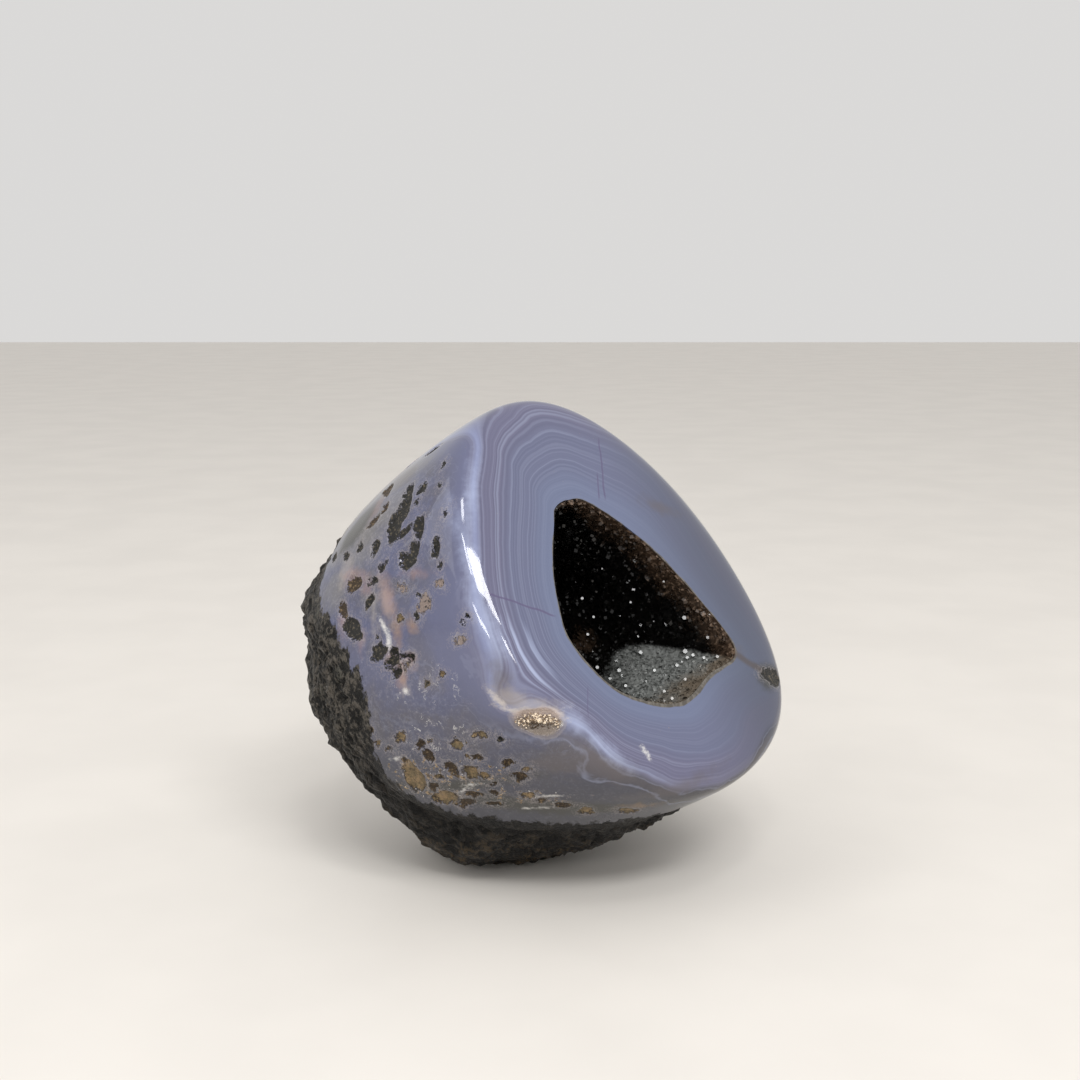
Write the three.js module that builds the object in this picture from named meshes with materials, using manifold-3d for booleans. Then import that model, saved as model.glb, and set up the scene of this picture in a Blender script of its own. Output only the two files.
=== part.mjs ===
// Banded agate geode: one natural nodule, ground and polished on its front, with its rough rind
// behind and below, and a hollow lined with a crust of small quartz crystals.
// Millimetres, +Z up, +X right, -Y towards the viewer. It rests on a small flat spot at Z = 0.

import * as THREE from "three";
import { mergeVertices } from "three/addons/utils/BufferGeometryUtils.js";
import Module from "manifold-3d";

const wasm = await Module();
wasm.setup();

// Stone: a rounded lump of nearly flat areas. Each has the heading and tilt that it faces, in
// degrees, and its distance from the stone's centre. Heading 0 faces the front, 90 the right.
const STONE_CENTRE = new THREE.Vector3(-1.25, 2.5, 57);
const CUT_FACE = { heading: 40, tilt: 31, distance: 36.5 };
const FLATS = [
  { area: "flank front", heading: -34, tilt: 6, distance: 51.5 },
  { area: "flank left", heading: -87, tilt: -2, distance: 65.5 },
  { area: "slope left", heading: -94, tilt: 48, distance: 54.5 },
  { area: "slope front", heading: -30, tilt: 46, distance: 68.5 },
  { area: "crown", heading: 120, tilt: 64, distance: 68.5 },
  { area: "slope right", heading: 101, tilt: 36, distance: 52.5 },
  { area: "right end", heading: 107, tilt: -7, distance: 63 },
  { area: "under right", heading: 71, tilt: -59, distance: 54 },
  { area: "under front", heading: -6, tilt: -36, distance: 53.5 },
  { area: "under left", heading: -84, tilt: -40, distance: 58.5 },
  { area: "back", heading: 180, tilt: 0, distance: 52 },
  { area: "back top", heading: 180, tilt: 48, distance: 51 },
  { area: "back right", heading: 140, tilt: 4, distance: 59 },
  { area: "back left", heading: -130, tilt: 0, distance: 57.5 },
  { area: "back low", heading: 180, tilt: -44, distance: 54.5 },
  { area: "bottom", heading: 0, tilt: -90, distance: 86 },
];
const ROUNDING = 6; // how tightly the flats of the lump blend: higher is sharper
const FACE_ROUNDING = 16; // the same for the crest round the cut face
const STONE_DETAIL = 13; // subdivisions of the stone's faceted surface

// Rind: it covers the side away from the cut face. Its edge is this far from the middle of that
// side, in degrees, every 30 degrees round the face's axis, from the face's right and upwards.
const RIND_REACH = [70, 64, 60, 60, 64, 73, 88, 79, 98, 112, 104, 84];
const RIND_EDGE_WIDTH = 5; // degrees over which the lumps fade out
const LUMP_HEIGHT = 2;
const LUMP_WAVES = [
  { along: new THREE.Vector3(12, 5, 0), start: 1 },
  { along: new THREE.Vector3(0, 13, -6), start: 2 },
  { along: new THREE.Vector3(5, 0, 14), start: 4 },
];

// Hollow: the outline of its mouth on the cut face, from the face's middle to the right and up,
// and the way it closes inside. Its deep end lies behind the upper part of the mouth.
const MOUTH_OUTLINE = [
  [-12, 20.5], [-7.5, 22], [-1, 20.5], [12, 8.5], [23, -9.5], [27.5, -23], [16.5, -27],
  [3, -32], [-13, -26], [-21.5, -13], [-21.5, -3], [-19, 6.5], [-14, 17],
];
const MOUTH_MIDDLE = new THREE.Vector2(1, -5);
const HOLLOW_DEPTH = 52;
const DEEP_END_SHIFT = new THREE.Vector2(-5, 13);
const FLOOR_FULLNESS = 1.35; // 1 closes like a cone, 2 like a ball
const ROOF_FULLNESS = 2.2;
const MOUTH_OVERRUN = 0.25; // how far the cutting shape runs out past the face, of its depth

// Crystal crust: lines the hollow, with a row of six-sided points every third place.
const WALL_GAP = 0.3;
const CRUST_THICKNESS = 1.6;
const CRYSTALS_ROUND = 18;
const CRUST_SIDES = 3 * CRYSTALS_ROUND;
const CRUST_ROWS = 25;
const WALL_ROWS = 7;
const ROW_CROWDING = 1.15; // above 1 draws the rows together near the mouth
const CRYSTAL_HEIGHT = 1.3;
const CRYSTAL_HEIGHT_SPREAD = 0.7;

// Pits in the polish: place, size across and up, depth, and how far each leans to the right.
const PITS = [
  { heading: -47, tilt: 40, width: 3.4, height: 11, depth: 1.6, lean: 20 },
  { heading: -37, tilt: 38, width: 2.6, height: 4.8, depth: 1.2, lean: 15 },
  { heading: -38, tilt: 30, width: 3.8, height: 7.2, depth: 1.5, lean: 25 },
  { heading: -29, tilt: 33, width: 2.2, height: 4, depth: 1, lean: 10 },
  { heading: -54, tilt: 31, width: 2.2, height: 5, depth: 1.1, lean: 25 },
  { heading: -59, tilt: 20, width: 4.2, height: 4.2, depth: 1.2, lean: 0 },
  { heading: -50, tilt: 23, width: 3, height: 2.6, depth: 1, lean: 30 },
  { heading: -49, tilt: 17.5, width: 2.4, height: 3.4, depth: 1, lean: 15 },
  { heading: -55, tilt: 10, width: 4.6, height: 7, depth: 1.4, lean: -10 },
  { heading: -45, tilt: 6, width: 3.2, height: 3.4, depth: 1.1, lean: -20 },
  { heading: -39, tilt: 4, width: 4.2, height: 6.8, depth: 1.8, lean: -5 },
  { heading: -34.5, tilt: 5.5, width: 2.4, height: 2.8, depth: 1, lean: 20 },
  { heading: -18, tilt: 16.5, width: 2, height: 3, depth: 0.9, lean: 10 },
  { heading: -32, tilt: -19, width: 2.6, height: 3.4, depth: 1, lean: -25 },
  { heading: -36, tilt: -28, width: 6.5, height: 7, depth: 1.1, lean: -35 },
  { heading: -28.5, tilt: -33, width: 6, height: 4.2, depth: 1.1, lean: -10 },
  { heading: -18, tilt: -24, width: 6, height: 2.8, depth: 1, lean: -5 },
  { heading: -4, tilt: -23, width: 4, height: 2.8, depth: 1.1, lean: -20 },
  { heading: -21, tilt: -38, width: 4.4, height: 3.4, depth: 1, lean: 0 },
  { heading: 14, tilt: -35.5, width: 4.2, height: 2.2, depth: 0.9, lean: 10 },
  { heading: 78, tilt: -7, width: 4, height: 5.2, depth: 2.2, lean: -20 },
];
const CRYSTAL_POCKET = { heading: 1, tilt: -7.5, width: 13.5, height: 6, depth: 3, lean: -4 };
const POCKET_STUDS = 0.25; // how far the pocket's facets stand in and out, of its size

const GROUND_CUTTER = 200; // side of the block that takes off everything under the resting spot
const MERGE_DISTANCE = 1e-4;

// Direction that a flat area with this heading and tilt faces.
function facing({ heading, tilt }) {
  const turn = THREE.MathUtils.degToRad(heading);
  const rise = THREE.MathUtils.degToRad(tilt);
  return new THREE.Vector3(
    Math.sin(turn) * Math.cos(rise),
    -Math.cos(turn) * Math.cos(rise),
    Math.sin(rise),
  );
}

const FACE_NORMAL = facing(CUT_FACE);
const FACE_RIGHT = new THREE.Vector3(0, 0, 1).cross(FACE_NORMAL).normalize();
const FACE_UP = FACE_NORMAL.clone().cross(FACE_RIGHT);
const FACE_FRAME = new THREE.Matrix4()
  .makeBasis(FACE_RIGHT, FACE_UP, FACE_NORMAL)
  .setPosition(STONE_CENTRE.clone().addScaledVector(FACE_NORMAL, CUT_FACE.distance));
const FLAT_NORMALS = FLATS.map(facing);

// How strongly a direction presses against each flat, and against all of them together.
function pressures(direction) {
  const each = FLATS.map((flat, i) => Math.max(FLAT_NORMALS[i].dot(direction), 0) / flat.distance);
  const lump = each.reduce((sum, push) => sum + push ** ROUNDING, 0) ** (1 / ROUNDING);
  const face = Math.max(FACE_NORMAL.dot(direction), 0) / CUT_FACE.distance;
  const whole = (lump ** FACE_ROUNDING + face ** FACE_ROUNDING) ** (1 / FACE_ROUNDING);
  return { each, lump, face, whole };
}

// Outward normal of the smooth stone in a direction from its centre.
function stoneNormal(direction) {
  const { each, lump, face } = pressures(direction);
  const normal = new THREE.Vector3();
  each.forEach((push, i) => {
    const share = (push / lump) ** (ROUNDING - 1) / FLATS[i].distance;
    normal.addScaledVector(FLAT_NORMALS[i], share * lump ** (FACE_ROUNDING - 1));
  });
  normal.addScaledVector(FACE_NORMAL, face ** (FACE_ROUNDING - 1) / CUT_FACE.distance);
  return normal.normalize();
}

// 0 on the polished side, 1 well inside the rind.
function rindShare(direction) {
  const around = Math.atan2(direction.dot(FACE_UP), direction.dot(FACE_RIGHT));
  const step = (2 * Math.PI) / RIND_REACH.length;
  const place = (around / step + RIND_REACH.length) % RIND_REACH.length;
  const before = Math.floor(place);
  const blend = THREE.MathUtils.smoothstep(place - before, 0, 1);
  const next = RIND_REACH[(before + 1) % RIND_REACH.length];
  const reach = THREE.MathUtils.lerp(RIND_REACH[before], next, blend);
  const away = THREE.MathUtils.radToDeg(Math.acos(-direction.dot(FACE_NORMAL)));
  return THREE.MathUtils.smoothstep(reach - away, 0, RIND_EDGE_WIDTH);
}

// Height of the rind's lumps in a direction from the stone's centre.
function rindLump(direction) {
  const swell = LUMP_WAVES.reduce((sum, wave) => sum + Math.sin(direction.dot(wave.along) + wave.start), 0);
  return (LUMP_HEIGHT * swell) / LUMP_WAVES.length;
}

function stoneRadius(direction) {
  return 1 / pressures(direction).whole + rindShare(direction) * rindLump(direction);
}

// A closed geometry as a solid that can be joined and cut.
function solidFrom(geometry) {
  const bare = new THREE.BufferGeometry();
  bare.setAttribute("position", geometry.getAttribute("position"));
  bare.setIndex(geometry.getIndex());
  const merged = mergeVertices(bare, MERGE_DISTANCE);
  const vertProperties = Float32Array.from(merged.getAttribute("position").array);
  const triVerts = Uint32Array.from(merged.getIndex().array);
  return new wasm.Manifold(new wasm.Mesh({ numProp: 3, vertProperties, triVerts }));
}

function geometryFrom(solid) {
  const { vertProperties, triVerts } = solid.getMesh();
  const geometry = new THREE.BufferGeometry();
  geometry.setAttribute("position", new THREE.BufferAttribute(vertProperties, 3));
  geometry.setIndex(new THREE.BufferAttribute(triVerts, 1));
  geometry.computeVertexNormals();
  return geometry;
}

// The whole stone before its hollow and pits, standing on its flat spot.
function wholeStone() {
  const geometry = new THREE.IcosahedronGeometry(1, STONE_DETAIL);
  const position = geometry.getAttribute("position");
  const point = new THREE.Vector3();
  for (let i = 0; i < position.count; i += 1) {
    point.fromBufferAttribute(position, i).normalize();
    point.multiplyScalar(stoneRadius(point)).add(STONE_CENTRE);
    position.setXYZ(i, point.x, point.y, point.z);
  }
  const ground = new THREE.BoxGeometry(GROUND_CUTTER, GROUND_CUTTER, GROUND_CUTTER);
  ground.translate(0, 0, -GROUND_CUTTER / 2);
  return solidFrom(geometry).subtract(solidFrom(ground));
}

// Matrix that stands a shape's Z along the stone's normal, turned to the right by its lean.
function pitFrame(pit) {
  const direction = facing(pit);
  const normal = stoneNormal(direction);
  const right = new THREE.Vector3(0, 0, 1).cross(normal).normalize();
  const up = normal.clone().cross(right);
  const place = direction.multiplyScalar(stoneRadius(direction)).add(STONE_CENTRE);
  const lean = new THREE.Matrix4().makeRotationZ(-THREE.MathUtils.degToRad(pit.lean));
  return new THREE.Matrix4().makeBasis(right, up, normal).setPosition(place).multiply(lean);
}

// A shallow faceted hole: a lump of facets with half its height in the stone.
function pitSolid(pit, detail = 0, studs = 0) {
  const geometry = mergeVertices(positionsOnly(new THREE.IcosahedronGeometry(1, detail)), MERGE_DISTANCE);
  const position = geometry.getAttribute("position");
  for (let i = 0; i < position.count; i += 1) {
    const scale = 1 + (i % 2 === 0 ? studs : -studs);
    position.setXYZ(i, position.getX(i) * scale, position.getY(i) * scale, position.getZ(i) * scale);
  }
  geometry.scale(pit.width / 2, pit.height / 2, pit.depth);
  geometry.applyMatrix4(pitFrame(pit));
  return solidFrom(geometry);
}

function positionsOnly(geometry) {
  geometry.deleteAttribute("normal");
  geometry.deleteAttribute("uv");
  return geometry;
}

const MOUTH_CURVE = new THREE.CatmullRomCurve3(
  MOUTH_OUTLINE.map(([right, up]) => new THREE.Vector3(right, up, 0)), true, "centripetal",
);

// Point on the hollow's wall, drawn in by an inset. Around runs 0 to 1 anticlockwise along the
// mouth, inward from 0 at the mouth to 1 at the deep end, and below 0 outside the face.
function wallPoint(around, inward, inset) {
  const outline = MOUTH_CURVE.getPointAt(1 - (around % 1));
  const spoke = new THREE.Vector2(outline.x, outline.y).sub(MOUTH_MIDDLE);
  const inside = Math.max(inward, 0);
  const heightShare = THREE.MathUtils.smoothstep(spoke.y / spoke.length(), -1, 1);
  const fullness = THREE.MathUtils.lerp(FLOOR_FULLNESS, ROOF_FULLNESS, heightShare);
  const width = (1 - inside ** fullness) ** (1 / fullness) * (1 - inset / spoke.length());
  const middle = MOUTH_MIDDLE.clone().addScaledVector(DEEP_END_SHIFT, inside);
  middle.addScaledVector(spoke, width);
  return new THREE.Vector3(middle.x, middle.y, -(HOLLOW_DEPTH - inset) * inward);
}

function deepEnd(inset) {
  const middle = MOUTH_MIDDLE.clone().add(DEEP_END_SHIFT);
  return new THREE.Vector3(middle.x, middle.y, inset - HOLLOW_DEPTH);
}

// One ring of the hollow's wall. Odd rows sit half a step on, so that the rows interlock.
function wallRing(row, rows, inset) {
  const inward = row === 0 ? -MOUTH_OVERRUN : Math.sin((row / rows) * (Math.PI / 2)) ** ROW_CROWDING;
  const points = [];
  for (let side = 0; side < CRUST_SIDES; side += 1) {
    points.push(wallPoint((side + (row % 2) / 2) / CRUST_SIDES, inward, inset));
  }
  return { points, shifted: row % 2 === 1 };
}

// Every third place of the interlocking rows stands out as a six-sided crystal.
function crystalRing(row, rows, inset) {
  const { points, shifted } = wallRing(row, rows, inset);
  const raised = points.map((point, side) => {
    const onPoint = (side + 2 * (row % 2)) % 3 === 0 && row > 0;
    const spread = ((7 * side + 5 * row) % 4) / 3;
    const height = onPoint ? CRYSTAL_HEIGHT + CRYSTAL_HEIGHT_SPREAD * (spread - 0.5) : 0;
    const around = (side + (row % 2) / 2) / CRUST_SIDES;
    const inward = -point.z / (HOLLOW_DEPTH - inset);
    return height > 0 ? wallPoint(around, inward, inset + height) : point;
  });
  return { points: raised, shifted };
}

// Closed geometry through rings of equal count that interlock row by row, with a point at each end.
function loft(rings, startPoint, endPoint) {
  const sides = rings[0].points.length;
  const points = [startPoint, ...rings.flatMap((ring) => ring.points), endPoint];
  const at = (row, side) => 1 + row * sides + (side % sides);
  const index = [];
  for (let side = 0; side < sides; side += 1) {
    index.push(0, at(0, side + 1), at(0, side));
    for (let row = 0; row + 1 < rings.length; row += 1) {
      const [a, b, c, d] = [at(row, side), at(row, side + 1), at(row + 1, side), at(row + 1, side + 1)];
      index.push(...(rings[row].shifted ? [a, d, c, a, b, d] : [a, b, c, c, b, d]));
    }
    index.push(at(rings.length - 1, side), at(rings.length - 1, side + 1), points.length - 1);
  }
  const geometry = new THREE.BufferGeometry().setFromPoints(points);
  geometry.setIndex(index);
  geometry.applyMatrix4(FACE_FRAME);
  return geometry;
}

// The shape taken out of the stone for the hollow: a plug that tapers to its deep end.
function hollowPlug() {
  const rings = [];
  for (let row = WALL_ROWS - 1; row >= 0; row -= 1) {
    rings.push(wallRing(row, WALL_ROWS, 0));
  }
  const outside = new THREE.Vector3(MOUTH_MIDDLE.x, MOUTH_MIDDLE.y, HOLLOW_DEPTH * MOUTH_OVERRUN);
  return solidFrom(loft(rings, deepEnd(0), outside));
}

// The crust: a cup just inside the hollow's wall, its rim cut off level with the stone's face.
function crystalCrust(stone) {
  const rings = [];
  for (let row = WALL_ROWS - 1; row >= 0; row -= 1) {
    rings.push(wallRing(row, WALL_ROWS, WALL_GAP));
  }
  for (let row = 0; row < CRUST_ROWS; row += 1) {
    rings.push(crystalRing(row, CRUST_ROWS, WALL_GAP + CRUST_THICKNESS));
  }
  const inner = deepEnd(WALL_GAP + CRUST_THICKNESS);
  return solidFrom(loft(rings, deepEnd(WALL_GAP), inner)).intersect(stone);
}

// The finished stone: hollowed, with its pits and the crystal pocket below the hollow.
function agateNodule(stone) {
  const pits = PITS.map((pit) => pitSolid(pit));
  pits.push(pitSolid(CRYSTAL_POCKET, 1, POCKET_STUDS));
  return pits.reduce((solid, pit) => solid.subtract(pit), stone.subtract(hollowPlug()));
}

function namedMesh(name, solid, material) {
  const mesh = new THREE.Mesh(geometryFrom(solid), material);
  mesh.name = name;
  return mesh;
}

const agateMaterial = new THREE.MeshStandardMaterial({
  color: 0x8486a8, roughness: 0.15, metalness: 0, flatShading: true,
});
const druseMaterial = new THREE.MeshStandardMaterial({
  color: 0x3a3532, roughness: 0.35, metalness: 0, flatShading: true,
});

const stone = wholeStone();
const geode = new THREE.Group();
geode.add(namedMesh("agate_nodule", agateNodule(stone), agateMaterial));
geode.add(namedMesh("druzy_crust", crystalCrust(stone), druseMaterial));

export default geode;
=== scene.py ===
"""Banded agate geode: a polished nodule with its rind, and a hollow lined with small crystals.

The stone, its hollow and its pits are worked out from the same sizes as the construction model, in
millimetres. Meshes are written in metres, with the origin under the middle of the stone.
"""

import logging
import math
from dataclasses import dataclass
from enum import Enum
from typing import Any

import bpy
import numpy as np
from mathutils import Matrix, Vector, noise


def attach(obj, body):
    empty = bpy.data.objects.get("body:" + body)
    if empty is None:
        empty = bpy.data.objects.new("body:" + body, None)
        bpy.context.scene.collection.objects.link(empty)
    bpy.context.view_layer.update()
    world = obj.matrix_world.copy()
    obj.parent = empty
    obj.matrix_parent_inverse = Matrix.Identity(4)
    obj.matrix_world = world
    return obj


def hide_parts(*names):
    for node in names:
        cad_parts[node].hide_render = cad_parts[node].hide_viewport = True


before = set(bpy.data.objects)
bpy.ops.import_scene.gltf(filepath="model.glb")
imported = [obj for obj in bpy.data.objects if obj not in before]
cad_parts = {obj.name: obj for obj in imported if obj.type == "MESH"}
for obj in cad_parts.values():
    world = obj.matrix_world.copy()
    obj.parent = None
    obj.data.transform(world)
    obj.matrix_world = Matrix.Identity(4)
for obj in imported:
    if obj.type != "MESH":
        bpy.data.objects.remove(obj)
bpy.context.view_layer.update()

logging.basicConfig(level=logging.INFO, format="%(message)s")
log = logging.getLogger("geode")

MM = 0.001
BODY = "root"
CAMERA_PLACE = (-0.55, -366.5, 146.4)
KEY_LIGHT_PLACE = (330.0, -800.0, 950.0)
OUTSIDE = -9.0  # what a pit's field says far away from it, in millimetres
QUARTZ_IOR = 1.54
ROW_CROWDING = 1.15  # how far the rows of the hollow's wall crowd towards its mouth
MERGE_DISTANCE = 0.02  # in millimetres
SUNK_BASE = 0.4  # how deep a crystal's foot is sunk, as a share of its height
Pair = tuple[float, float]
Triple = tuple[float, float, float]
Colour = Triple
Piece = bpy.types.Object
Socket = bpy.types.NodeSocket


def paint(red: int, green: int, blue: int) -> Colour:
    """Linear colour of a screen colour given from 0 to 255."""
    shares = (value / 255 for value in (red, green, blue))
    return tuple(s / 12.92 if s <= 0.04045 else ((s + 0.055) / 1.055) ** 2.4 for s in shares)


def facing(heading: float, tilt: float) -> np.ndarray:
    """Unit vector of a heading (0 to the front, 90 to the right) and a tilt, in degrees."""
    turn, rise = math.radians(heading), math.radians(tilt)
    return np.array([
        math.sin(turn) * math.cos(rise), -math.cos(turn) * math.cos(rise), math.sin(rise),
    ])


def smooth_step(values: np.ndarray, low: float, high: float) -> np.ndarray:
    """0 below low, 1 above high and a smooth rise between them."""
    share = np.clip((values - low) / (high - low), 0, 1)
    return share * share * (3 - 2 * share)


def along_ring(knots: np.ndarray, place: np.ndarray) -> np.ndarray:
    """Numbers or points on a smooth closed curve.

    Args:
        knots: The numbers or points that the curve goes through.
        place: Places on the curve, counted in knots from the first.

    Returns:
        The number or point at each place.
    """
    before = np.floor(place).astype(int)
    t = (place - before).reshape(-1, *(1,) * (knots.ndim - 1))
    a, b, c, d = (knots[(before + step) % len(knots)] for step in (-1, 0, 1, 2))
    bend = (c - a) * t + (2 * a - 5 * b + 4 * c - d) * t**2 + (3 * b - a - 3 * c + d) * t**3
    return b + bend / 2


def round_the_ring(values: tuple[float, ...], angle: np.ndarray) -> np.ndarray:
    """A number at each angle in radians, on a smooth curve through values at equal steps."""
    ring = np.array(values)
    return along_ring(ring, (angle / (2 * math.pi) * len(ring)) % len(ring))


def unit(vectors: np.ndarray) -> np.ndarray:
    """The vectors scaled to length 1."""
    return vectors / np.linalg.norm(vectors, axis=-1, keepdims=True)


@dataclass(frozen=True)
class Flat:
    """A nearly flat area of the stone: what it faces, and its distance from the stone's centre."""

    heading: float
    tilt: float
    distance: float

    def normal(self) -> np.ndarray:
        """Unit vector that the area faces."""
        return facing(self.heading, self.tilt)


@dataclass(frozen=True)
class StoneForm:
    """The smooth stone: flats blended into a lump, with the cut face ground across it."""

    centre: Triple = (-1.25, 2.5, 57)
    cut_face: Flat = Flat(40, 31, 36.5)
    flats: tuple[Flat, ...] = (
        Flat(-34, 6, 51.5), Flat(-87, -2, 65.5), Flat(-94, 48, 54.5), Flat(-30, 46, 68.5),
        Flat(120, 64, 68.5), Flat(101, 36, 52.5), Flat(107, -7, 63), Flat(71, -59, 54),
        Flat(-6, -36, 53.5), Flat(-84, -40, 58.5), Flat(180, 0, 52), Flat(180, 48, 51),
        Flat(140, 4, 59), Flat(-130, 0, 57.5), Flat(180, -44, 54.5), Flat(0, -90, 86),
    )
    rounding: float = 6
    face_rounding: float = 16

    def axes(self) -> tuple[np.ndarray, np.ndarray, np.ndarray]:
        """The cut face's own directions.

        Returns:
            Unit vectors to its right, up and out of it.
        """
        out = self.cut_face.normal()
        right = unit(np.cross((0, 0, 1), out))
        return right, np.cross(out, right), out

    def face_places(self, points: np.ndarray) -> tuple[np.ndarray, np.ndarray, np.ndarray]:
        """How far points lie to the right, up and behind, seen from the middle of the cut face.

        Args:
            points: Points in millimetres.

        Returns:
            The three distances in millimetres.
        """
        right, up, out = self.axes()
        away = points - np.array(self.centre)
        return away @ right, away @ up, self.cut_face.distance - away @ out

    def from_face(self, right: np.ndarray, up: np.ndarray, behind: np.ndarray) -> np.ndarray:
        """Points that lie so far to the right, up and behind, from the middle of the cut face.

        Args:
            right: Millimetres to the right.
            up: Millimetres up.
            behind: Millimetres behind the face.

        Returns:
            The points in millimetres.
        """
        to_right, to_up, out = self.axes()
        depth = self.cut_face.distance - behind
        return np.array(self.centre) + (
            right[..., None] * to_right + up[..., None] * to_up + depth[..., None] * out
        )

    def radius(self, directions: np.ndarray) -> np.ndarray:
        """Distance from the centre to the smooth surface in each direction.

        Args:
            directions: Unit vectors from the stone's centre.

        Returns:
            The distances in millimetres.
        """
        lump = np.zeros(len(directions))
        for flat in self.flats:
            push = np.maximum(directions @ flat.normal(), 0) / flat.distance
            lump += push**self.rounding
        lump = lump ** (1 / self.rounding)
        face = np.maximum(directions @ self.cut_face.normal(), 0) / self.cut_face.distance
        return (lump**self.face_rounding + face**self.face_rounding) ** (-1 / self.face_rounding)

    def surface(self, heading: float, tilt: float) -> np.ndarray:
        """Point of the smooth surface in the direction of a heading and tilt."""
        direction = facing(heading, tilt)
        return np.array(self.centre) + direction * self.radius(direction[None])[0]


@dataclass(frozen=True)
class Swell:
    """A place where a depth is shifted: agate layers bulge outwards where the lift is below 0."""

    heading: float
    tilt: float
    reach: float
    lift: float

    def shift(self, stone: StoneForm, points: np.ndarray) -> np.ndarray:
        """How far the depth is shifted at each point."""
        away = np.linalg.norm(points - stone.surface(self.heading, self.tilt), axis=1)
        return self.lift * np.exp(-((away / self.reach) ** 2))


@dataclass(frozen=True)
class Hollow:
    """The hollow behind the cut face, and the agate layers that follow it outwards."""

    stone: StoneForm
    outline: tuple[Pair, ...] = (
        (-12, 20.5), (-7.5, 22), (-1, 20.5), (12, 8.5), (23, -9.5), (27.5, -23), (16.5, -27),
        (3, -32), (-13, -26), (-21.5, -13), (-21.5, -3), (-19, 6.5), (-14, 17),
    )
    middle: Pair = (1, -5)
    depth: float = 52
    deep_end_shift: Pair = (-5, 13)
    floor_fullness: float = 1.35
    roof_fullness: float = 2.2
    overrun: float = 0.25
    layer_spread: tuple[float, ...] = (22, 15, 10.5, 14.5, 23, 23.3, 23.5, 30, 33, 32, 31, 28)
    swells: tuple[Swell, ...] = (
        Swell(-7, -1.5, 5.5, -5.2), Swell(11.5, -9.5, 6.5, 3.2), Swell(35, -22, 7, -2),
        Swell(24, -25, 5, 2.2), Swell(2, -18, 6, 2), Swell(56, -20, 10, -4.5),
        Swell(-22, 52, 8, -1.6),
    )
    curve_steps: int = 720

    def spokes(self) -> tuple[np.ndarray, np.ndarray]:
        """The mouth's outline about its middle, as angles that rise and the reach at each.

        Returns:
            The angles in radians, and the reach in millimetres.
        """
        knots = np.array(self.outline)[::-1] - np.array(self.middle)
        place = np.linspace(0, len(knots), self.curve_steps, endpoint=False)
        curve = along_ring(knots, place)
        angle = np.arctan2(curve[:, 1], curve[:, 0])
        order = np.argsort(angle)
        return angle[order], np.hypot(curve[:, 0], curve[:, 1])[order]

    def reach(self, angle: np.ndarray) -> np.ndarray:
        """Distance from the mouth's middle to its outline at each angle."""
        known, lengths = self.spokes()
        return np.interp(angle, known, lengths, period=2 * math.pi)

    def wall(self, angle: np.ndarray, inward: np.ndarray, inset: Any) -> np.ndarray:
        """Points on the hollow's wall.

        Args:
            angle: Angle round the mouth's middle, in radians.
            inward: 0 at the mouth, 1 at the deep end, below 0 outside the face.
            inset: How far the wall is drawn in, in millimetres.

        Returns:
            Points in millimetres.
        """
        inside = np.clip(inward, 0, 1)
        upness = smooth_step(np.sin(angle), -1, 1)
        fullness = self.floor_fullness + (self.roof_fullness - self.floor_fullness) * upness
        width = (1 - inside**fullness) ** (1 / fullness)
        spoke = np.maximum(self.reach(angle) - inset, 0.01) * width
        right = self.middle[0] + self.deep_end_shift[0] * inside + spoke * np.cos(angle)
        up = self.middle[1] + self.deep_end_shift[1] * inside + spoke * np.sin(angle)
        return self.stone.from_face(right, up, (self.depth - inset) * inward)

    def layers(self, points: np.ndarray) -> np.ndarray:
        """How many millimetres of agate layers lie between each point and the hollow.

        Args:
            points: Points in millimetres.

        Returns:
            The millimetres, below 0 inside the hollow.
        """
        right, up, behind = self.stone.face_places(points)
        inside = np.clip(behind / self.depth, 0, 1)
        right = right - self.middle[0] - self.deep_end_shift[0] * inside
        up = up - self.middle[1] - self.deep_end_shift[1] * inside
        angle = np.arctan2(up, right)
        share = np.hypot(right, up) / self.reach(angle)
        deep = np.maximum(behind, 0) / self.depth
        whole = np.sqrt(share**2 + deep**2)
        shift = sum(swell.shift(self.stone, points) for swell in self.swells)
        return (whole - 1) * round_the_ring(self.layer_spread, angle) + shift


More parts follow.
